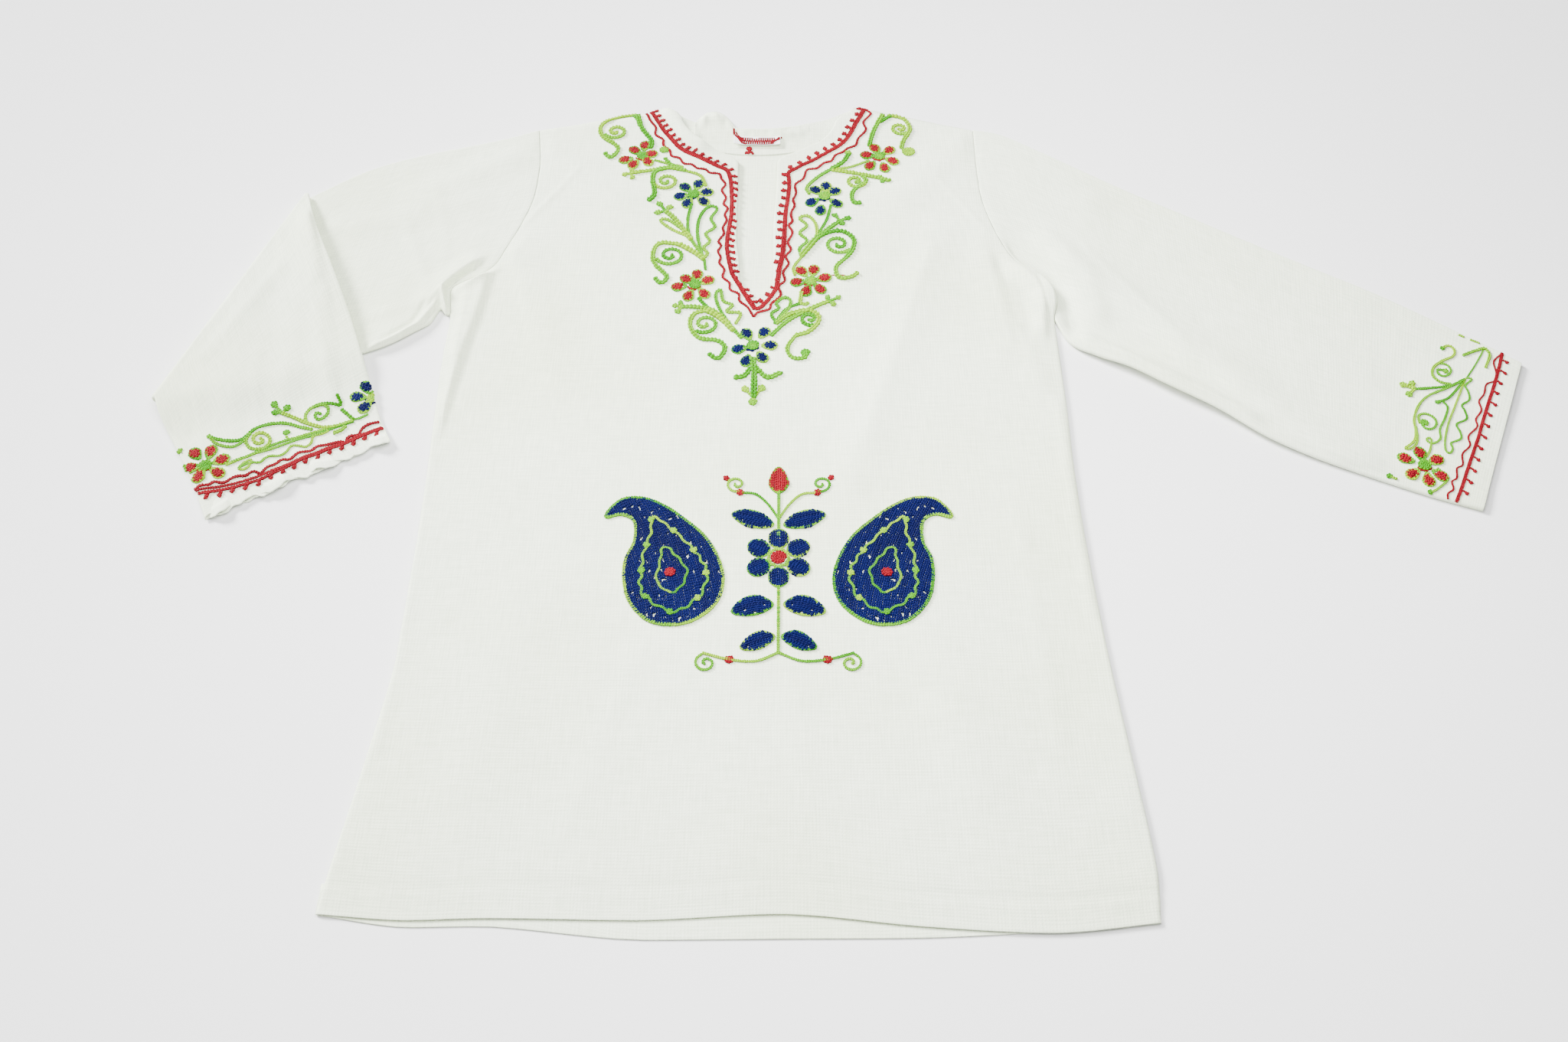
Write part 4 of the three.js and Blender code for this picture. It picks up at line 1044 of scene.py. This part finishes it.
# vines and stems
lime_lines += strokes(
    (2.07, (-83, 282.5), (-95, 280.5), (-107, 271.5), (-106, 259.5), (-97, 251.5), (-94, 245.5),
     (-99, 237.5), (-103, 242.5)),
    (2.3, (-83, 282.5), (-79, 267.5), (-72, 255.5), (-72, 247.5)),
    (1.84, (-87, 283.5), (-83, 277.5), (-81, 270.5)),
    (1.84, (-62, 237.5), (-57, 230.5), (-47, 224.5)),
    (1.23, (-69, 235.5), (-61, 232.5), (-49, 228.5)),
    (1.53, (-47, 224.5), (-37, 219.5), (-33, 209.5)),
    (2, (-84, 222.5), (-69, 225.5), (-59, 227.5), (-47, 224.5)),
    (2.3, (-55, 228.5), (-67, 224.5), (-69, 215.5), (-67, 201.5), (-71, 195.5)),
    (1.53, (-42, 192.5), (-44, 177.5), (-42, 161.5), (-33, 143.5)),
    (2.3, (-59, 185.5), (-52, 177.5), (-45, 165.5), (-41, 158.5)),
    (1.53, (-44, 162.5), (-54, 168.5), (-62, 176.5), (-57, 177.5), (-45, 166.5)),
    (1.53, (-33, 141.5), (-37, 161.5), (-37, 175.5), (-34, 185.5), (-29, 190.5), (-25, 187.5),
     (-29, 178.5), (-26, 170.5), (-32, 164.5), (-29, 157.5), (-33, 151.5), (-30, 146.5), (-33, 141.5)),
    (2.45, (-32, 140.5), (-39, 147.5), (-49, 154.5)),
    (2.07, (-49, 154.5), (-61, 155.5), (-65, 147.5), (-64, 137.5), (-58, 129.5), (-55, 124.5),
     (-59, 119.5), (-63, 124.5)),
    (1.23, (-32, 140.5), (-31, 131.5)),
    (1.68, (-35, 107.5), (-29, 99.5), (-17, 87.5), (-7, 73.5)),
    (2, (-45, 99.5), (-37, 99.5), (-25, 96.5), (-15, 85.5)),
    (2.45, (-12, 79.5), (-21, 90.5), (-29, 96.5)),
    (2.07, (-29, 96.5), (-37, 93.5), (-39, 83.5), (-33, 73.5), (-22, 71.5), (-17, 65.5),
     (-21, 56.5), (-27, 60.5)),
    (1.53, (-12, 79.5), (-21, 97.5), (-24, 109.5), (-21, 114.5), (-19, 104.5), (-13, 101.5),
     (-17, 95.5), (-8, 94.5), (-11, 85.5)),
    (2.15, (91, 281.5), (101, 278.5), (106, 267.5), (101, 255.5), (99, 247.5)),
    (2.3, (88, 282.5), (81, 265.5), (77, 249.5)),
    (1.84, (98, 283.5), (93, 280.5), (86, 274.5)),
    (2.15, (63, 241.5), (59, 233.5), (51, 226.5)),
    (1.68, (51, 226.5), (41, 217.5), (34, 207.5), (36, 201.5)),
    (1.23, (77, 235.5), (63, 228.5), (51, 226.5)),
    (2, (51, 225.5), (67, 222.5), (83, 217.5), (90, 214.5)),
    (2, (71, 220.5), (74, 214.5), (67, 207.5), (64, 201.5), (65, 193.5), (70, 193.5)),
    (1.38, (50, 191.5), (47, 177.5), (41, 163.5)),
    (2, (55, 175.5), (47, 167.5), (41, 160.5)),
    (2.76, (41, 161.5), (35, 151.5), (30, 143.5)),
    (1.53, (30, 142.5), (39, 157.5), (40, 171.5), (35, 180.5), (29, 178.5), (34, 171.5),
     (29, 164.5), (34, 157.5), (29, 150.5), (30, 143.5)),
    (2.15, (37, 155.5), (45, 163.5), (56, 166.5), (64, 159.5), (63, 149.5), (58, 141.5)),
    (2, (58, 141.5), (52, 133.5), (54, 124.5), (62, 125.5), (66, 129.5)),
    (1.38, (30, 142.5), (25, 133.5), (26, 126.5)),
    (1.84, (30, 112.5), (29, 102.5)),
    (1.53, (29, 102.5), (33, 101.5), (34, 103.5)),
    (2, (47, 104.5), (35, 97.5), (21, 87.5), (11, 75.5)),
    (1.38, (13, 85.5), (20, 97.5), (29, 102.5)),
    (1.53, (15, 85.5), (11, 93.5), (16, 98.5), (14, 102.5), (19, 107.5), (23, 105.5), (22, 98.5),
     (16, 89.5)),
    (2.15, (14, 85.5), (23, 93.5), (35, 96.5), (41, 89.5), (35, 79.5), (26, 75.5)),
    (1.84, (26, 75.5), (21, 65.5), (24, 57.5), (32, 57.5), (32, 62.5)),
    (2.6, (0, 57.5), (1, 47.5), (1, 37.5), (1, 25.5)),
    (2.3, (-1, 49.5), (-5, 42.5), (-11, 41.5)),
    (2.15, (2, 49.5), (9, 41.5), (17, 45.5)),
)
# middle, start angle, radius, turns
lime_lines += [(curl(*spiral), 1.75) for spiral in (
    (-97, 264.5, 200, 7.5, 1.5), (-60, 214.5, 180, 8, 1.6), (-54, 144.5, 200, 9, 1.6),
    (-30, 85.5, 230, 8, 1.5), (99, 267.5, -40, 6, -1.4), (67, 214.5, 0, 6.5, -1.4),
    (54, 154.5, -30, 8.5, -1.5), (35, 89.5, -30, 6, -1.4),
)]
lime_lines += knots(
    1.4,
    (-63, 245.5, 2.8), (104, 244.5, 4), (63, 242.5, 2), (83, 218.5, 1.6), (85, 214.5, 1.6),
    (32, 61.5, 2.6), (17, 45.5, 1.2), (-95, 280.5, 1.0),
)
# end of a stem, then its buds
for (x, y), *buds in (
    ((-59, 185.5), (-63, 192.5, 1.9), (-64, 184.5, 1.9), (-56.5, 189, 1.9)),
    ((-84, 222.5), (-83.5, 226, 1.5), (-88, 221, 1.6), (-83, 218.5, 1.5)),
    ((-45, 99.5), (-49, 101, 1.5), (-47, 96, 1.7), (-45.5, 103, 1.5)),
    ((55.5, 176), (52.5, 181.5, 1.6), (61, 179, 1.8), (57, 174, 1.7)),
    ((47, 104.5), (46.5, 107.5, 1.5), (53, 107.5, 1.6), (50, 102, 1.7)),
    ((1, 25.5), (-4, 32.5, 2.1), (5.5, 33.5, 2.1), (0.5, 22.5, 2.3)),
):
    lime_lines += sprig(x, y, *buds)
threads("neck_embroidery_red", red_lines, cloth_under["front"], red_cotton)
threads("neck_embroidery_lime", lime_lines, cloth_under["front"], lime_cotton)
threads("neck_embroidery_navy", navy_lines, cloth_under["front"], navy_cotton)


# ---------------------------------------------------------------- label stitches
# A plain red pattern worked on the tape: fine borders with a zigzag between them. Both ends are
# tacked down with red whip stitches, and the thread is tied off in a knot below the tape.
pattern = []
# shares of the label's length from and to, share of its width
for first, last, b in ((-0.36, -0.1, 0.28), (0.02, 0.37, 0.3), (-0.3, 0.34, -0.42)):
    pattern.append((label_place(np.linspace(first, last, 30), b, 0)[:, :2], 0.36))
a = np.linspace(-0.35, 0.37, 31)
pattern.append((label_place(a, -0.08 + 0.34 * (-1.0) ** np.arange(31), 0)[:, :2], 0.5))
# the stitches that hold it
pattern += strokes(
    (0.95, (-15.8, 267.5), (-15.2, 262.5), (-12.5, 258.5), (-8, 255.5)),
    (0.7, (-14.2, 264.5), (-12, 260), (-8.5, 257.5)),
    (0.7, (-13, 259), (-10, 254), (-7, 252.5)),
    (0.9, (10.5, 253.5), (13.5, 256), (17.5, 260)),
    (0.7, (11, 256), (14.5, 256.5), (17, 257)),
    (1.1, (-6.5, 247), (-7.5, 244.5)),
    (1.1, (-3.5, 247), (-2, 244)),
)
pattern += knots(1.1, (-5, 249.6, 1.9), (-5.4, 246, 1.5))
threads("label_stitches", pattern, cloth_under["label"], red_cotton)


# ---------------------------------------------------------------- cuff embroidery
# The same red lines, vine and flowers run round each cuff. On the folded sleeve they lie on the
# underside of the forearm, and a flower is cut off by its edge.
red_lines, lime_lines, navy_lines = [], [], []
flower(red_lines, lime_lines, -313.5, -24.5, [
    (-321.5, -15.5), (-312.5, -14), (-304.5, -20), (-305, -29.5), (-315.5, -32.5), (-322, -26)])
flower(navy_lines, lime_lines, -225, 26, [(-230.5, 34), (-235, 26.5), (-229.5, 18.5)])
thick = spaced(curve([
    (-315, -44), (-304.5, -42), (-295, -39.5), (-287, -36.5), (-280, -33.5), (-274, -29), (-266, -24),
    (-259, -19), (-252, -15.5), (-245, -11.5), (-238, -8.5), (-232.5, -5), (-224.5, 0), (-217.5, 3.5),
    (-213, 5)]), 0.8)
away = np.interp(np.linspace(0, 1, len(thick)), [0, 0.35, 0.5, 1], [2.4, 2.2, 0.9, 0.5])
red_lines += [(beside(thick, away), 1.15), (beside(thick, -0.3), 1.4)]
red_lines += ticks(thick[::-1], 7.1, 3.2, 1.2, 1.4, 1.2, 1.1)
# the wavy line, in two pieces
red_lines += strokes(
    (1.25, (-316, -41), (-313, -38.5), (-308.5, -38), (-306, -35.5), (-302, -36.5), (-299, -35.5),
     (-296.5, -33), (-292.5, -31.5), (-289, -31.5), (-286.5, -29), (-284, -28.5), (-281, -30),
     (-278, -25), (-274, -23), (-270.5, -19.5), (-266, -19.5), (-262, -14.5), (-255.5, -13.5),
     (-252, -10), (-247, -9), (-241.5, -7), (-238.5, -6.5), (-236, -8)),
    (1.3, (-236, -7.5), (-235.5, -3.5), (-233, -2), (-229, -1.5), (-229, 1.5), (-226.5, 5.5),
     (-222.5, 7.5), (-217.5, 8.5), (-213, 9)),
)
# vines and stems
lime_lines += strokes(
    (1.29, (-315, -4), (-312.5, -7.5), (-306.5, -10.5), (-300, -11), (-295.5, -7), (-292.5, -1.5)),
    (1.45, (-315, -4), (-309.5, -6), (-302, -7), (-296, -5.5), (-292.5, -0.5), (-288, 4), (-281, 6.5),
     (-272.5, 6.5), (-264.5, 4), (-257, 2)),
    (1.5, (-292.5, -1), (-294, -7), (-290, -12), (-283.5, -12), (-280, -7.5), (-282, -2.5),
     (-286.5, -0.5), (-290, -3.5), (-289, -7.5), (-285.5, -8.5), (-284, -6), (-286.5, -4.5)),
    (1.19, (-302, -24), (-293, -19), (-285.5, -15), (-277.5, -11.5), (-269.5, -7.5), (-264.5, -5),
     (-256.5, -2.5), (-249.5, 1), (-243.5, 4), (-234, 8.5)),
    (1.19, (-299.5, -22), (-289, -16.5), (-279.5, -10), (-272, -6), (-265, -3.5), (-257, -0.5),
     (-248, 3.5)),
    (1.07, (-270, -5), (-271.5, -2.5)),
    (1.62, (-277, 14), (-267.5, 10), (-260.5, 6.5), (-252.5, 4)),
    (1.45, (-252.5, 4), (-245, 4.5), (-234.5, 9)),
    (1.39, (-261, 6.5), (-263, 12.5), (-260.5, 18), (-255.5, 20.5), (-251.5, 19.5), (-250, 15.5),
     (-251.5, 11.5), (-255, 9.5), (-257.5, 12.5), (-256.5, 15), (-254, 13.5)),
    (1.39, (-259.5, 18.5), (-255.5, 21), (-250, 21), (-244.5, 20.5), (-244, 22), (-247, 27.5)),
    (1.62, (-243, 17.5), (-239, 14), (-234.5, 10)),
    (1.07, (-234.5, 10), (-231, 11), (-226.5, 14)),
    (1.07, (-294.5, -26.5), (-292, -24), (-289, -22.5), (-286, -22), (-283, -22), (-280.5, -18.5),
     (-278, -17), (-274, -17), (-271, -16), (-269, -13.5), (-267, -9.5), (-262.5, -9.5), (-258.5, -10.5),
     (-256, -7.5), (-255.5, -2.5), (-251, -1), (-247.5, 1.5)),
    (1.07, (-294.5, -26.5), (-291, -27), (-288.5, -24.5), (-288, -20), (-291.5, -22), (-294, -25)),
    (1.62, (-244.5, -0.5), (-240, 2), (-238, 5)),
    (1.5, (-331.5, -14.5), (-331, -18), (-326, -23.5), (-323, -29)),
)
lime_lines += sprig(-277, 14, (-282.5, 20, 1.9), (-281.5, 14.5, 1.7), (-274.5, 17.5, 1.9))
lime_lines += knots(
    1.15,
    (-272, 0, 1.8), (-316, -3.5, 1.2),
    (-331, -13.5, 1.5), (-323, -31, 1.6), (-318, -34, 1.3),
)
threads("left_cuff_embroidery_red", red_lines, cloth_under["left"], red_cotton)
threads("left_cuff_embroidery_lime", lime_lines, cloth_under["left"], lime_cotton)
threads("left_cuff_embroidery_navy", navy_lines, cloth_under["left"], navy_cotton)

red_lines, lime_lines = [], []
flower(red_lines, lime_lines, 387.5, -24, [
    (387, -15), (377, -19), (395.5, -20), (378.5, -30.5), (387, -35), (395, -31.5)])
thick = spaced(curve([
    (458, 65), (456, 60.5), (450.5, 48.5), (443, 33.5), (438.5, 25), (431, 10.5), (424, -3.5),
    (417.5, -15.5), (411, -27.5), (405, -39), (399, -49.5)]), 0.8)
red_lines += [(beside(thick, 0.45), 0.8), (beside(thick, -0.45), 0.8)]
red_lines += ticks(thick, 9.4, 3.6, 0.9, 0.9, 1.1, 0.85)
red_lines += strokes((
    0.8, (457, 64), (456, 61.5), (449.5, 55), (448.5, 46.5), (446, 40), (440, 37), (436.5, 29.5), (432, 24),
    (431.5, 17), (426.5, 10.5), (425.5, 4.5), (418.5, -2.5), (417.5, -9.5), (411.5, -15.5), (409.5, -23.5),
    (405.5, -26), (403.5, -33), (400, -35.5), (399.5, -41), (395.5, -44), (394.5, -48.5)))
# vines and stems
lime_lines += strokes(
    (0.71, (429.5, 42), (438, 53), (447, 66)),
    (1.34, (432, 60), (440, 63.5), (447, 66)),
    (1.27, (447, 66), (448.5, 60.5), (443, 50)),
    (1.19, (421, 66), (425.5, 68), (428, 64.5), (426, 59.5), (417.5, 55), (411.5, 50), (409.5, 43.5),
     (413, 38.5), (419, 37)),
    (1.03, (414.5, 53.5), (420, 52.5), (421.5, 47.5), (417.5, 43.5), (413.5, 44.5), (413.5, 48.5),
     (417, 48)),
    (1.19, (395, 33.5), (405, 34), (418.5, 36), (428, 41)),
    (1.1, (428, 41), (416.5, 34.5), (403.5, 28.5), (395.5, 21), (390, 10.5), (388.5, 0.5),
     (385.5, -6.5), (380.5, -10.5), (379, -12), (383, -11.5), (387.5, -6.5), (389.5, 4.5)),
    (1.1, (392.5, 7), (393, 12.5), (397.5, 14), (401.5, 11), (402, 6.5), (399, 3), (395, 3),
     (393.5, 6)),
    (1.1, (427.5, 40), (421.5, 33.5), (414.5, 26.5), (407, 23)),
    (0.95, (410.5, 23.5), (412, 19), (408, 10.5), (403, 2.5), (401.5, -4.5), (396.5, -8), (393.5, -6.5),
     (394, -4), (396, -4.5), (395.5, -7.5), (393, -13.5), (390, -18)),
    (0.88, (429, 42), (423, 31.5), (416, 19), (409, 6.5), (404, -5.5), (402.5, -13), (404.5, -15),
     (407, -11.5), (407, -7.5), (413.5, -4.5), (414.5, 0.5), (414, 6.5), (421, 10.5), (421.5, 17),
     (421, 21), (426.5, 25), (427.5, 31.5), (427, 36), (432.5, 41), (429.5, 42)),
    (1.03, (394, -26), (398.5, -33), (391.5, -40), (386.5, -43)),
    (1.1, (364, -31.5), (369, -34)),
    (0.95, (434, 77), (437, 75)),
    (0.95, (440, 73), (445, 70)),
)
lime_lines += sprig(396, 33.5, (390, 37, 1.8), (395.5, 38, 1.7), (392, 29.5, 1.8))
lime_lines += knots(
    1.15,
    (418, 47.5, 1.6), (395, 7.5, 2.2), (407, 23, 1.3),
    (421, 66, 1.3), (365, -32, 1.5), (386, -43, 1.4),
)
threads("right_cuff_embroidery_red", red_lines, cloth_under["right"], red_cotton)
threads("right_cuff_embroidery_lime", lime_lines, cloth_under["right"], lime_cotton)


# ---------------------------------------------------------------- chest embroidery
# A plain design of traditional forms: two mirrored paisleys filled in navy with lime outlines,
# each with a wavy lime line and round knots inside, a navy flower between them, and leaf sprigs
# with red buds above and below.
CHEST_AT = (16, -88)  # middle of the design, from which all its points are measured
red_lines, lime_lines, navy_lines = [], [], []


def inside(shape, x, y):
    """Whether points lie inside a closed path, by counting the sides that a line crosses."""
    x0, y0 = shape[:, 0], shape[:, 1]
    x1, y1 = np.roll(x0, -1), np.roll(y0, -1)
    x, y = x[:, None], y[:, None]
    cross = (y0 > y) != (y1 > y)
    at = x0 + (y - y0) * (x1 - x0) / np.where(y1 == y0, 1, y1 - y0)
    return (cross & (x < at)).sum(axis=1) % 2 == 1


def hatched(shape, guide, spacing, width, gap):
    """Rows of stitches that fill a closed path: a guide moved sideways again and again, and cut off
    where it leaves the path. A row also breaks off where an uneven field passes gap, which leaves
    small open spots."""
    guide = spaced(curve(guide), 0.5)
    reach = np.ptp(shape, axis=0).max()
    rows = []
    for aside in np.arange(-reach, reach, spacing):
        row = beside(guide, aside + 0.2 * np.sin(np.arange(len(guide)) / 11 + 2 * aside))
        on = inside(shape, row[:, 0], row[:, 1]) & (uneven(row[:, 0], row[:, 1] * 0.6, 2.6, 31) < gap)
        edges = np.flatnonzero(np.diff(np.concatenate([[0], on.astype(int), [0]])))
        rows += [(row[i:j], width) for i, j in zip(edges[::2], edges[1::2]) if j - i > 3]
    return rows


def mirrored(lines):
    """The same lines of stitches on the other side of the design's middle."""
    return [(path * (-1, 1), width) for path, width in lines]


# the right paisley's outline, its inner line, and the small drop in it
boteh = spaced(curve([
    (57, -43), (45, -40), (34, -30), (30, -16), (33, -1), (41, 14), (52, 25), (63, 34), (75, 40),
    (87, 40), (94, 34), (97, 27), (89, 29), (83, 27), (80, 22), (80, 10), (84, -1), (84, -15),
    (80, -29), (70, -40),
], closed=True), 0.5)
inner_drop = curve([
    (58, -35), (47, -30), (40, -20), (40, -7), (48, 6), (58, 17), (70, 27), (71, 16), (74, 3),
    (75, -11), (73, -24),
], closed=True)
heart = curve([(58, -23), (52, -18), (50, -9), (55, -1), (63, 7), (65, -4), (66, -16)], closed=True)
# lines of the right half; the left half is mirrored from it
own_navy = hatched(boteh, [(42, -90), (50, -30), (64, 16), (86, 60), (110, 100)], 1.2, 1.45, 1.7)
own_lime = [(boteh, 1.25)]
over_lime = [(wavy(inner_drop, 9, 0.8), 0.95), (wavy(heart, 8, 0.5), 0.9)]
over_lime += knots(1.1, *[(x, y, 1.7) for x, y in spaced(inner_drop, 18)[1:]])
over_red = knots(1.4, (59, -10, 2.6))
# leaves
for shape in (
    [(3, -30), (11, -25), (19, -27), (25, -35), (16, -37), (8, -35)],
    [(3, 22), (9, 29), (18, 32), (26, 29), (19, 22), (10, 20)],
    [(2, -50), (9, -47), (15, -50), (20, -57), (12, -58), (6, -55)],
):
    leaf = curve(shape, closed=True)
    own_lime.append((leaf, 0.95))
    own_navy += hatched(leaf, [shape[0], np.mean(shape, axis=0), shape[3]], 1.3, 1.5, 2.2)
# stem and side stalks
own_lime += strokes(
    (1.2, (0, 14), (0, 26), (0, 38), (0, 46)),
    (1.05, (0, 26), (6, 36), (13, 43), (21, 44)),
    (1.2, (0, -18), (0, -30), (0, -44), (0, -60)),
    (1.05, (0, -60), (12, -65), (26, -64), (40, -60)),
)
own_lime += [(curl(24, 50, 250, 5.5, 1.4), 1.05), (curl(38, -66, 70, 5.5, -1.4), 1.05)]
own_red = knots(1.25, (22, 44, 2.0), (26, -64, 2.2), (30, 54, 1.6))
bud = curve([(0, 44), (5, 49), (4, 56), (0, 62), (-4, 56), (-5, 49)], closed=True)
lime_lines.append((bud, 1.0))
red_lines += hatched(bud, [(0, 40), (0, 52), (0, 64)], 1.2, 1.5, 3)

# the flower in the middle
turn = np.linspace(0, 2 * math.pi, 60)[:-1]
circle = np.column_stack([np.cos(turn), np.sin(turn)])
for angle in np.radians(np.arange(30, 390, 60)):
    out = np.array([math.cos(angle), math.sin(angle)])
    side = np.array([-out[1], out[0]])
    petal = out * 12.6 + circle[:, :1] * out * 6.2 + circle[:, 1:] * side * 5.2
    lime_lines.append((np.vstack([petal, petal[:1]]), 0.95))
    navy_lines += hatched(petal, [out * 4, out * 12.6, out * 21], 1.2, 1.5, 2.2)
red_lines.append((curl(0, 0, 0, 3.6, 3.2), 1.35))
lime_lines.append((wavy(np.vstack([circle, circle[:2]]) * 5.6, 3.9, 0.5), 1.1))
lime_lines += own_lime + mirrored(own_lime)
red_lines += own_red + mirrored(own_red)
over_lime += mirrored(over_lime)
over_red += mirrored(over_red)
for name, lines, material, slot_name, lift in (
    ("chest_embroidery_red", red_lines, red_cotton, "red_thread", 0.04),
    ("chest_embroidery_lime", lime_lines, lime_cotton, "lime_thread", 0.2),
    ("chest_embroidery_navy", navy_lines, navy_cotton, "navy_thread", 0.04),
    ("chest_embroidery_navy_right", own_navy, navy_cotton, "navy_thread", 0.04),
    ("chest_embroidery_navy_left", mirrored(own_navy), navy_cotton, "navy_thread", 0.04),
    ("chest_embroidery_lime_over", over_lime, lime_cotton, "lime_thread", 0.6),
    ("chest_embroidery_red_over", over_red, red_cotton, "red_thread", 0.6),
):
    threads(name, [(path + CHEST_AT, width) for path, width in lines], cloth_under["front"],
            material, lift)


# ---------------------------------------------------------------- floor and light
# Matt white paper under the blouse: even, with a fine grain that gives no gloss. A softbox hangs
# over the blouse, and a far low window at the upper left gives its folds their shade.
FLOOR_COLOUR = "#ECECEC"
FLOOR_REACH = 12000
FLOOR_BELOW = 0.05  # so that it doesn't share a face with the back
paper, tree = new_material("matt_white_paper")
place = add_node(tree, "ShaderNodeTexCoord", {}).outputs["Object"]
grain = add_node(tree, "ShaderNodeTexNoise", {"Vector": place, "Scale": 900.0, "Detail": 2.0}).outputs["Fac"]
grain_normal = add_node(tree, "ShaderNodeBump", {"Height": grain, "Strength": 0.05, "Distance": 0.0001})
shader = add_node(tree, "ShaderNodeBsdfPrincipled", {
    "Base Color": linear(FLOOR_COLOUR), "Roughness": 0.8, "Specular IOR Level": 0.2,
    "Normal": grain_normal.outputs["Normal"],
})
add_node(tree, "ShaderNodeOutputMaterial", {"Surface": shader.outputs["BSDF"]})
corners = FLOOR_REACH * np.array([(-1, -1, 0), (1, -1, 0), (1, 1, 0), (-1, 1, 0)]) - (0, 0, FLOOR_BELOW)
floor = add_mesh("floor", corners, np.array([[0, 1, 2, 3]]), paper)

world = bpy.data.worlds.new("world")
bpy.context.scene.world = world
world.use_nodes = True
world.node_tree.nodes["Background"].inputs["Color"].default_value = (1, 1, 1, 1)
world.node_tree.nodes["Background"].inputs["Strength"].default_value = 0.4
# place, size in metres, power in watts
for name, at, size, power in (
    ("softbox", (30, 10, 520), 0.6, 10.6), ("window", (-7800, 6000, 5000), 2.8, 6000),
):
    lamp = bpy.data.objects.new(name, bpy.data.lights.new(name, "AREA"))
    lamp.data.size = size
    lamp.data.energy = power
    lamp.location = Vector(at) * MM
    lamp.rotation_euler = (Vector((0, 0, 0)) - lamp.location).to_track_quat("-Z", "Y").to_euler()
    bpy.context.scene.collection.objects.link(lamp)
